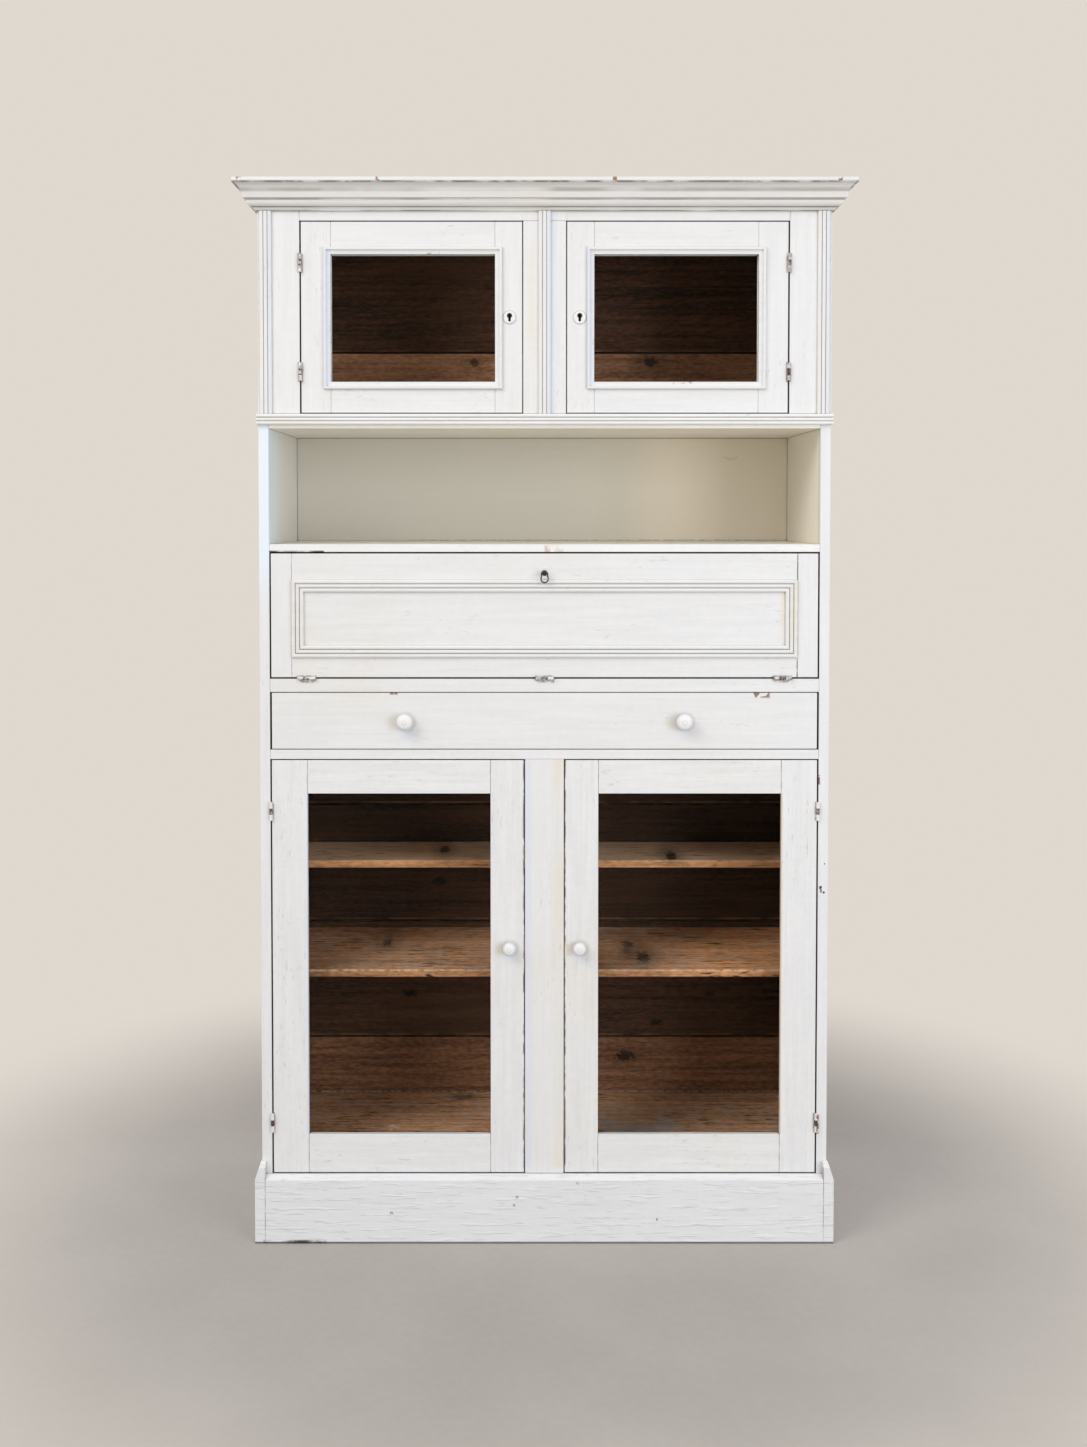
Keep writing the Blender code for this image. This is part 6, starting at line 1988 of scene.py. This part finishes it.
@dataclass
class FallFlap:
    """The fall front with its planted moulding, lock, folding key and stays."""

    half: float = 533.0
    clamp: float = 493.0
    foot: float = 1114.5
    head: float = 1356.0
    hinges: tuple[float, ...] = (-464.0, 0.0, 464.0)
    pin_z: float = 1113.0
    key_z: float = 1318.0
    face_y: float = -176.5
    screw_reach: float = 11.0

    def finish(self) -> PaintedPine:
        """The flap's paint: clamps at the ends, with painted warm light beside the moulding's uprights."""
        ends = tuple(
            Area((min(a, b), -300, 1100), (max(a, b), 300, 1400), 0.1)
            for a, b in ((-self.half - 2, -self.clamp), (self.clamp, self.half + 2))
        )
        middle, rise = (self.foot + self.head) / 2, (self.head - self.foot) / 2
        tints = (
            line_tint(-self.clamp, middle, 0.5, rise, 0.3),
            line_tint(self.clamp, middle, 0.9, rise, 0.8),
            # Painted warm light beside the moulding's uprights.
            Tint(Area((-487, -190, 1160), (-466, -170, 1298), 8), WARM_LIGHT_TINT, 0.28, 8.0),
            Tint(Area((462, -190, 1160), (486, -170, 1298), 8), WARM_LIGHT_TINT, 0.34, 8.0),
        )
        hinges = tuple(Area((x - 19, -190, 1104), (x + 19, -160, 1118), 0.5) for x in self.hinges)
        raw = Area((-600, -155.0, 1100), (600, 400, 1400), 0.3)
        tints += (rim_dirt_and_shade(-self.half, self.half, self.foot, self.head), *iron_stain(hinges))
        return PaintedPine(Run.ACROSS, turned=ends, raw=(raw,), tints=tints, ironwork=hinges, wear=-0.03)

    def build(self, bench: Bench, trimmer: Trimmer) -> None:
        """Dresses the flap, its moulding and its ironwork, and adds its key plate.

        Args:
            bench: what puts the finishes on.
            trimmer: what makes the small pieces.
        """
        bench.dress("flap", self.finish())
        # Painted warm light on the moulding's uprights.
        tints = tuple(
            Tint(Area((x - 8, -190, 1160), (x + 8, -170, 1298), 3), WARM_LIGHT_TINT, 0.25, 8.0) for x in (-487, 487)
        )
        bench.dress("flap_moulding", PaintedPine(wear=-0.3, grime_and_shade=0.7, grime_and_shade_from=0.15, recess=6.0, tints=tints))
        for name in ("flap_lock", "flap_bolt", "key", "key_bow"):
            bench.dress(name, Iron())
        for side in Side:
            bench.dress(f"stay_bar_{side.value}", Iron(rusting=0.3))
            bench.dress(f"stay_guide_{side.value}", Iron(rusting=0.3))
        for name, lift, facing, body in (("flap", LEAF_GAP, -1, "flap"), ("flap_rail", -LEAF_GAP, 1, "root")):
            spots = [
                Spot((x + step, LEAF_MIDDLE_Y, self.pin_z + lift), (0, 0, facing))
                for x in self.hinges
                for step in (-self.screw_reach, self.screw_reach)
            ]
            trimmer.screw_in(f"{name}_screws", spots, body, 35)
        base = trimmer.spots("flap_key_plate", [Spot((0.0, self.face_y, self.key_z), (0, -1, 0))])
        paint = PaintedPine(wear=-0.3, grime_and_shade=0.5).material("key_plate_paint", bench.shop)
        trimmer.keep(trimmer.plates.make(base, paint), "flap")


@dataclass
class Drawer:
    """The wide drawer: a painted front with two turned knobs on a dovetailed box."""

    knob_x: float = 272.0
    knob_z: float = 1029.1

    def finish(self) -> PaintedPine:
        """The front's paint, with a chip on its upper edge and painted shadows round the knobs."""
        chips = (Area((410, -180, 1077), (437, -160, 1086), 5), Area((-300, -180, 1082), (-288, -160, 1086), 3))
        raw = Area((-600, -155.0, 900), (600, 400, 1100), 0.3)
        # Painted shadow and warm and cool light round each knob.
        shades = (knob_shade(x, self.knob_z, 16.0) for x in (-self.knob_x, self.knob_x))
        tints = (*(tint for shade in shades for tint in shade), rim_dirt_and_shade(-532, 532, 974, 1084))
        return PaintedPine(raw=(raw,), chips=chips, tints=tints, wear=-0.03)

    def build(self, bench: Bench) -> None:
        """Dresses the drawer.

        Args:
            bench: what puts the finishes on.
        """
        bench.dress("drawer_front", self.finish())
        bench.dress("drawer_box", RawPine(Run.DEPTHWISE, early=PALE_PINE, late=PALE_PINE_LATE, dust=0.15))
        for side in Side:
            node = f"drawer_knob_{side.value}"
            bench.dress(node, knob_finish(node, 12.0))


# The studio


@dataclass
class Studio:
    """A pale floor that runs out into a pale surround, soft lamps and the camera."""

    surround: Colour = (0.745, 0.690, 0.628)
    floor: Colour = (0.47, 0.435, 0.405)
    floor_reach: float = 14.0
    fade: tuple[float, float] = (0.75, 1.7)
    camera_at: Point = (-0.042, -3.1865, 1.431)
    camera_tilt: float = 1.88
    lens: float = 38.49
    shift: tuple[float, float] = (0.0142, -0.109)
    key_at: Point = (-2.9, -3.0, 4.1)
    key_size: float = 2.4
    key_power: float = 88.0
    fill_at: Point = (2.7, -3.5, 1.5)
    fill_size: float = 2.2
    fill_power: float = 58.0
    aim: Point = (0.0, 0.0, 1.15)
    sky: Colour = (0.985, 0.99, 1.0)
    sky_strength: float = 0.75

    def build(self) -> None:
        """Sets up the floor, the world, the lamps and the camera."""
        self.lay_floor()
        self.set_world()
        self.hang_lamp("key_lamp", self.key_at, self.key_size, self.key_power, (1.0, 0.98, 0.95))
        self.hang_lamp("fill_lamp", self.fill_at, self.fill_size, self.fill_power, (0.95, 0.975, 1.0))
        self.set_camera()

    def seen_share(self, s: Sketch) -> Socket:
        """One for rays from the camera, and for those that a mirror or glass sends on.

        Args:
            s: the sketch of the tree.

        Returns:
            The share.
        """
        path = s.add("ShaderNodeLightPath").outputs
        return s.highest(path["Is Camera Ray"], path["Is Glossy Ray"], path["Is Transmission Ray"])

    def lay_floor(self) -> None:
        """Makes a round floor whose rim has the surround's own colour."""
        reach, count = self.floor_reach / MM, 96
        points = [
            (reach * math.cos(2 * math.pi * step / count), reach * math.sin(2 * math.pi * step / count), 0.0)
            for step in range(count)
        ]
        floor = mesh_object("studio_floor", points, [tuple(range(count))])
        material, s = new_material("studio_floor_paint")
        spot = s.add("ShaderNodeTexCoord").outputs["Object"]
        cloud = s.noise(spot, 2.2, 4.0)
        fine = s.noise(spot, 60.0, 3.0)
        tone = s.total(s.ease(cloud, 0.3, 0.7, 0.95, 1.04), s.ease(fine, 0.3, 0.7, -0.015, 0.015))
        colour = s.mix(1.0, self.floor, s.join(tone, tone, tone), "MULTIPLY")
        ground = s.add("ShaderNodeBsdfPrincipled", {"Base Color": colour, "Roughness": 0.9, "Specular IOR Level": 0.1})
        glow = s.add("ShaderNodeEmission", {"Color": self.surround, "Strength": 1.0})
        away = s.ease(s.length(spot), self.fade[0], self.fade[1])
        share = s.product(away, self.seen_share(s))
        both = s.add("ShaderNodeMixShader", {0: share, 1: ground.outputs[0], 2: glow.outputs[0]})
        s.add("ShaderNodeOutputMaterial", {"Surface": both.outputs[0]})
        floor.data.materials.append(material)

    def set_world(self) -> None:
        """Gives the world the surround's colour where it is seen, and soft light elsewhere."""
        world = bpy.data.worlds.new("surround")
        world.use_nodes = True
        world.node_tree.nodes.clear()
        s = Sketch(world.node_tree)
        light = s.add("ShaderNodeBackground", {"Color": self.sky, "Strength": self.sky_strength})
        seen = s.add("ShaderNodeBackground", {"Color": self.surround, "Strength": 1.0})
        both = s.add("ShaderNodeMixShader", {0: self.seen_share(s), 1: light.outputs[0], 2: seen.outputs[0]})
        s.add("ShaderNodeOutputWorld", {"Surface": both.outputs[0]})
        bpy.context.scene.world = world

    def hang_lamp(self, name: str, at: Point, size: float, power: float, colour: Colour) -> None:
        """Hangs a square soft lamp that looks at the cupboard.

        Args:
            name: the lamp's name.
            at: where it hangs, in metres.
            size: its width, in metres.
            power: its power, in watts.
            colour: its light.
        """
        data = bpy.data.lights.new(name, "AREA")
        data.shape = "SQUARE"
        data.size = size
        data.energy = power
        data.color = colour
        lamp = bpy.data.objects.new(name, data)
        lamp.location = at
        lamp.rotation_euler = (Vector(self.aim) - Vector(at)).to_track_quat("-Z", "Y").to_euler()
        bpy.context.scene.collection.objects.link(lamp)

    def set_camera(self) -> None:
        """Puts the camera where the photograph was taken."""
        data = bpy.data.cameras.new("camera")
        data.lens = self.lens
        data.shift_x, data.shift_y = self.shift
        camera = bpy.data.objects.new("camera", data)
        camera.location = self.camera_at
        camera.rotation_euler = (math.radians(90.0 - self.camera_tilt), 0.0, 0.0)
        bpy.context.scene.collection.objects.link(camera)
        bpy.context.scene.camera = camera
        bpy.context.scene.view_settings.view_transform = "Standard"


def main() -> None:
    """Builds the studio, then dresses and trims each part of the cupboard in turn."""
    logging.basicConfig(level=logging.INFO, format="%(name)s: %(message)s")
    Studio().build()
    shop = Workshop()
    bench = Bench(shop)
    trimmer = Trimmer(shop)
    carcass = Carcass()
    carcass.dress(bench)
    carcass.trim(trimmer)
    for side in Side:
        UpperDoor(side).build(bench, trimmer)
        LowerDoor(side).build(bench, trimmer)
    FallFlap().build(bench, trimmer)
    Drawer().build(bench)


if __name__ == "__main__":
    main()
